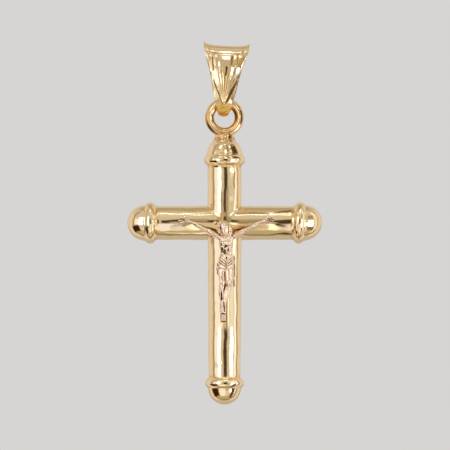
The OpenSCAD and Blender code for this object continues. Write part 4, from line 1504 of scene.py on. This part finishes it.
        # Patches round the face with less painted shade.
        less_shade = [1 - much * bell(np.hypot((x - u) / wide, (z - v) / high), 1.0)
                 for u, v, wide, high, much in self.less_shade]
        hollow *= less_shade[0]
        stand = np.minimum(np.hypot(x, y), np.hypot(y, z)) - self.cross.tube_r
        here = clay.depth[tuple(cells.T)]
        slope = np.stack([clay.depth[tuple((cells + step).T)] - here
                          for step in np.eye(3, dtype=int)], axis=1)
        ahead = -slope[:, 1] / np.maximum(np.linalg.norm(slope, axis=1), 1e-9)
        turned = 1 - ease(ahead, 0.20, 0.75)
        tint = np.maximum.reduce([
            self.hollow_painted_shade * hollow, self.line_painted_shade * cut,
            self.line_painted_shade * (1 - ease(stand, 0.04, 0.20)),
            self.side_painted_shade * turned * (1 - ease(stand, 0.25, 0.60)),
        ])
        tint *= less_shade[1]
        points[:, 2] += self.cross.centre
        skin = Skin("corpus_skin")
        skin.add(np.concatenate([points, tint[:, None]], axis=1), quads)
        made = skin.piece(ROSE_GOLD, "rose_gold", "pendant")
        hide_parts("corpus")
        return made


# --- Studio --------------------------------------------------------------------------


class Wrap(Enum):
    """Axis that a panel is bent round: the upright's, or the arms'."""

    UPRIGHT = "upright"
    ARMS = "arms"


class Place(Enum):
    """Places that panels are bent round, in millimetres across and up from the crossing."""

    CROSSING = (0.0, 0.0)
    RIGHT_CAP = (9.0, 0.0)
    TOP_CAP = (0.0, 7.3)
    FOOT_CAP = (0.0, -17.5)
    LEFT_HAND = (-4.35, 0.1)
    RIGHT_HAND = (4.65, 0.1)
    FACE = (0.05, -0.6)
    BODY = (0.1, -6.3)
    LOOP = (0.0, 12.6)
    BAIL_FOOT = (0.0, 14.2)
    BAIL_LOW = (0.0, 15.05)
    BAIL_MIDDLE = (0.0, 15.5)
    BAIL_HIGH = (0.0, 16.0)
    BAIL_TOP = (0.0, 17.5)


@dataclass(frozen=True)
class Panel:
    """A glowing or dull studio panel with soft edges, on a ball round the pendant.

    Attributes:
        name: Name of the panel.
        turn: Middle direction round that axis in degrees, 0 towards the front, to the
            right round the upright and upwards round the arms.
        tilt: Middle direction along that axis in degrees.
        half: Half size across the turn and along the axis, in degrees.
        soft: Width of the faded edge across and along, in degrees.
        glow: Brightness of its face.
        distance: Metres from the place that the panel is bent round.
        about: That place.
        wrap: Axis that its turn is measured round.
    """

    name: str
    turn: float
    tilt: float
    half: tuple[float, float]
    soft: tuple[float, float]
    glow: Colour
    distance: float = 0.4
    about: Place = Place.CROSSING
    wrap: Wrap = Wrap.UPRIGHT

    def build(self, middle: np.ndarray, steps: int = 32) -> bpy.types.Object:
        """Builds the panel.

        A direction is (sin t cos l, -cos t cos l, sin l) round the upright, t being
        the turn and l the tilt, and (sin l, -cos t cos l, sin t cos l) round the arms.
        The edge fades as a smooth step over the soft width on each side.

        Args:
            middle: The crossing, in metres.
            steps: Faces along each side.

        Returns:
            The panel, which the camera doesn't see.
        """
        share = np.linspace(-1, 1, steps + 1)
        reach = [h + s for h, s in zip(self.half, self.soft)]
        turn, tilt = np.meshgrid(np.radians(self.turn + share * reach[0]),
                                 np.radians(self.tilt + share * reach[1]), indexing="ij")
        if self.wrap is Wrap.UPRIGHT:
            out = (np.sin(turn) * np.cos(tilt), -np.cos(turn) * np.cos(tilt), np.sin(tilt))
        else:
            out = (np.sin(tilt), -np.cos(turn) * np.cos(tilt), np.sin(turn) * np.cos(tilt))
        across, up = self.about.value
        centre = middle + MM * np.array([across, 0.0, up])
        points = centre + self.distance * np.stack(out, axis=-1).reshape(-1, 3)
        fade = [ease((1 - np.abs(share)) * r, 0, s) for r, s in zip(reach, self.soft)]
        number = np.arange((steps + 1) ** 2).reshape(steps + 1, steps + 1)
        quads = np.stack([
            number[:-1, :-1], number[1:, :-1], number[1:, 1:], number[:-1, 1:]], axis=-1)
        mesh = bpy.data.meshes.new(self.name)
        mesh.from_pydata(points.tolist(), [], quads.reshape(-1, 4).tolist())
        strength = mesh.attributes.new("fade", "FLOAT", "POINT")
        strength.data.foreach_set("value", np.outer(*fade).astype(np.float32).ravel())
        mesh.materials.append(self.material())
        made = bpy.data.objects.new(self.name, mesh)
        made.visible_camera = False
        made.visible_shadow = False
        bpy.context.scene.collection.objects.link(made)
        return made

    def material(self) -> bpy.types.Material:
        """Glow that fades to clear where the mesh's fade attribute falls to 0."""
        made, tree = empty_material(self.name)
        fade = node(tree, "Attribute", attribute_name="fade")
        clear = node(tree, "BsdfTransparent")
        lamp = node(tree, "Emission", {"Color": (*self.glow, 1.0)})
        mix = node(tree, "MixShader", {
            0: fade.outputs["Fac"], 1: clear.outputs[0], 2: lamp.outputs[0]})
        node(tree, "OutputMaterial", {"Surface": mix.outputs[0]})
        return made


@dataclass
class Studio:
    """Pale floor, even pale surround, soft panels of light and shade, and the camera.

    Attributes:
        middle: Height of the crossing, in metres.
        floor_drop: Floor below the origin, in metres.
        frame_w: Width of the picture at the pendant, in metres.
        distance: Camera to pendant, in metres.
    """

    middle: float
    floor_drop: float = 0.46
    floor_half: float = 3.0
    frame_w: float = 0.0477
    distance: float = 0.6
    sensor: float = 36.0
    aim: tuple[float, float] = (0.00005, -0.01868)
    panels: tuple[Panel, ...] = (
        Panel("window_left", -36, 10, (7, 20), (4, 5), (3.6, 3.7, 4.2), 0.36),
        Panel("cream_left", -58, 8, (12, 14), (4, 6), (1.08, 1.08, 1.28), 0.38),
        Panel("window_right", 49, -22, (8, 15), (5, 4), (3.6, 3.7, 4.2), 0.11),
        Panel("window_right_high", 49, 8.6, (10, 2.2), (6, 1.5), (3.4, 3.5, 3.9), 0.11),
        Panel("window_top", 69, 4, (8, 6.5), (8, 3), (3.6, 3.7, 4.2), wrap=Wrap.ARMS),
        Panel("strip_right", 78, 0, (4, 50), (5, 10), (1.4, 1.4, 1.7)),
        Panel("gap_left", -81, 0, (4, 60), (5, 8), (0.4, 0.32, 0.25)),
        Panel("gap_right", 98, 0, (4, 60), (5, 8), (0.42, 0.34, 0.28)),
        Panel("wall_left", -116, 0, (14, 60), (9, 8), (0.84, 0.75, 0.74)),
        Panel("wall_right", 118, 0, (12, 60), (8, 8), (0.84, 0.76, 0.75)),
        Panel("gap_top", 107, 0, (14, 50), (7, 10), (0.48, 0.42, 0.33), wrap=Wrap.ARMS),
        Panel("table_near", -41, 0, (9, 50), (7, 10), (0.8, 0.76, 0.72), wrap=Wrap.ARMS),
        Panel("table_under", -67, 0, (9, 50), (8, 10), (0.53, 0.48, 0.35), wrap=Wrap.ARMS),
        Panel("gap_under", -89, 0, (5, 50), (5, 10), (0.34, 0.28, 0.2), wrap=Wrap.ARMS),
        Panel("dark_low_left", -72, -31, (24, 14), (5, 5), (0.04, 0.015, 0.008), 0.35),
        Panel("lens", 5.5, 0.5, (9, 17), (5, 9), (0.075, 0.048, 0.032), 1.0),
        Panel("lens_line", -3, 0, (0.8, 20), (1.6, 10), (0.32, 0.27, 0.21), 0.06, wrap=Wrap.ARMS),
        Panel("card_right_cap", 33, -8, (14, 6.5), (4, 3), (3.4, 3.5, 3.8), 0.01, Place.RIGHT_CAP),
        Panel("shade_right_cap", 40, -33, (14, 8), (6, 4), (0.22, 0.16, 0.08), 0.01,
              Place.RIGHT_CAP),
        Panel("brown_right_cap", 38, 31, (12, 8), (4, 4), (0.42, 0.33, 0.22), 0.01,
              Place.RIGHT_CAP),
        Panel("paper_right_cap", 78, 4, (9, 34), (4, 6), (0.92, 0.88, 0.8), 0.0102,
              Place.RIGHT_CAP),
        Panel("card_top_cap", 7, 24, (4, 6), (2.5, 4), (2.6, 2.6, 2.8), 0.0098, Place.TOP_CAP),
        Panel("shade_top_cap", 27, 40, (2.4, 9), (2, 3), (0.4, 0.34, 0.18), 0.0119, Place.TOP_CAP),
        Panel("cream_top_cap", 44, 37, (8, 12), (4, 4), (1.2, 1.12, 1.0), 0.0122, Place.TOP_CAP),
        Panel("paper_top_cap", -37, 19, (17, 13), (5, 4), (0.74, 0.7, 0.66), 0.012, Place.TOP_CAP),
        Panel("card_foot_cap", -14, -32, (18, 14), (5, 5), (1.1, 1.08, 1.15), 0.01,
              Place.FOOT_CAP),
        Panel("shade_foot_cap", 58, -32, (10, 22), (4, 5), (0.1, 0.05, 0.03), 0.01,
              Place.FOOT_CAP),
        Panel("card_figure", -7, 0, (7, 17), (7, 4), (0.72, 0.66, 0.58), 0.0096, wrap=Wrap.ARMS),
        Panel("band_figure_left", 16, -16.5, (6, 5.8), (5, 2), (0.46, 0.4, 0.32), 0.0095,
              wrap=Wrap.ARMS),
        Panel("band_figure_right", 16, 16.5, (6, 5.8), (5, 2), (0.46, 0.4, 0.32), 0.0095,
              wrap=Wrap.ARMS),
        Panel("shade_figure_right", 3, 12, (5, 3.2), (4, 2), (0.34, 0.27, 0.19), 0.0093,
              wrap=Wrap.ARMS),
        Panel("card_hand_left", 0, 0, (6, 4), (4, 3), (0.5, 0.43, 0.36), 0.0092, Place.LEFT_HAND),
        Panel("card_hand_right", 0, 0, (6, 4), (4, 3), (0.56, 0.48, 0.4), 0.0092,
              Place.RIGHT_HAND),
        Panel("card_face", 2, 0, (5, 4), (3, 3), (1.6, 1.5, 1.4), 0.009, Place.FACE),
        Panel("card_body", 4, 0, (16, 25), (5, 3), (0.7, 0.64, 0.57), 0.012, Place.BODY),
        Panel("line_body_left", -18, 0, (2.5, 24), (2, 3), (1.6, 1.5, 1.45), 0.0119, Place.BODY),
        Panel("line_body_right", 25, 0, (2.5, 24), (2, 3), (1.5, 1.45, 1.4), 0.0119, Place.BODY),
        Panel("dark_body", 12, 0, (2, 24), (2, 3), (0.26, 0.2, 0.15), 0.0118, Place.BODY),
        Panel("card_body_left", -36, 0, (10, 24), (4, 3), (0.98, 1.04, 1.3), 0.0125, Place.BODY),
        Panel("card_body_right", 48, 0, (10, 24), (6, 3), (0.92, 0.94, 1.1), 0.0125, Place.BODY),
        Panel("tent_bail", 0, 32, (62, 54), (8, 6), (0.56, 0.51, 0.46), 0.0095, Place.BAIL_HIGH),
        Panel("card_bail_low", 0, -25, (26, 7), (8, 4), (0.6, 0.52, 0.4), 0.01, Place.BAIL_FOOT),
        Panel("paper_bail_right", 66, 16, (14, 24), (4, 4), (0.62, 0.57, 0.5), 0.0075,
              Place.BAIL_MIDDLE),
        Panel("fold_bail_left", -20, 0, (4, 40), (4, 6), (0.86, 0.82, 0.76), 0.009,
              Place.BAIL_HIGH),
        Panel("fold_bail_right", 20, 0, (4, 40), (4, 6), (0.34, 0.27, 0.17), 0.009,
              Place.BAIL_HIGH),
        Panel("card_bail_left", -33, -4, (5, 6), (2, 3), (2.6, 2.7, 3.3), 0.008, Place.BAIL_LOW),
        Panel("card_bail_left_high", -31, 17, (4, 5), (2, 3), (2.6, 2.7, 3.3), 0.0082,
              Place.BAIL_LOW),
        Panel("card_bail_right", 45, 2, (7, 6), (3, 3), (2.6, 2.7, 3.4), 0.008, Place.BAIL_LOW),
        Panel("card_bail_top", 3, 27, (4.5, 6), (1.5, 2), (2.6, 2.7, 3.4), 0.008, Place.BAIL_TOP),
        Panel("shade_loop", 66, 0, (16, 26), (6, 8), (0.1, 0.05, 0.03), 0.008, Place.LOOP),
    )

    def surround(self) -> None:
        """Makes the world one pale grey."""
        world = bpy.data.worlds.new("surround")
        world.use_nodes = True
        shade = world.node_tree.nodes["Background"]
        shade.inputs["Color"].default_value = (*BACKGROUND, 1.0)
        shade.inputs["Strength"].default_value = 1.0
        bpy.context.scene.world = world
        bpy.context.scene.view_settings.view_transform = "Standard"

    def floor(self) -> bpy.types.Object:
        """Builds the plain floor."""
        half = self.floor_half
        mesh = bpy.data.meshes.new("floor")
        turns = ((-1, -1), (1, -1), (1, 1), (-1, 1))
        corners = [(x * half, y * half, -self.floor_drop) for x, y in turns]
        mesh.from_pydata(corners, [], [(0, 1, 2, 3)])
        paint = bpy.data.materials.new("floor_paper")
        paint.use_nodes = True
        shader = paint.node_tree.nodes["Principled BSDF"]
        shader.inputs["Base Color"].default_value = (*FLOOR_PAPER, 1.0)
        shader.inputs["Roughness"].default_value = 0.95
        shader.inputs["Specular IOR Level"].default_value = 0.1
        mesh.materials.append(paint)
        made = bpy.data.objects.new("floor", mesh)
        bpy.context.scene.collection.objects.link(made)
        return made

    def camera(self) -> bpy.types.Object:
        """Builds the level long-lens camera and makes it the scene's."""
        lens = bpy.data.cameras.new("camera")
        lens.sensor_width = self.sensor
        lens.lens = self.sensor * self.distance / self.frame_w
        lens.clip_start, lens.clip_end = 0.01, 20.0
        made = bpy.data.objects.new("camera", lens)
        made.location = (self.aim[0], -self.distance, self.aim[1])
        made.rotation_euler = (math.pi / 2, 0.0, 0.0)
        bpy.context.scene.collection.objects.link(made)
        bpy.context.scene.camera = made
        return made

    def build(self) -> None:
        """Builds the whole studio."""
        self.surround()
        self.floor()
        self.camera()
        for panel in self.panels:
            panel.build(np.array([0.0, 0.0, self.middle]))
        log.info("studio: %d panels", len(self.panels))


def main() -> None:
    """Builds each sub-assembly in order, then the studio around it."""
    logging.basicConfig(level=logging.INFO, format="%(name)s: %(message)s")
    cross = Cross()
    cross.build()
    Loop(cross).build()
    Bail().build()
    Corpus(cross).build()
    Studio(cross.centre * MM).build()


if __name__ == "__main__":
    main()
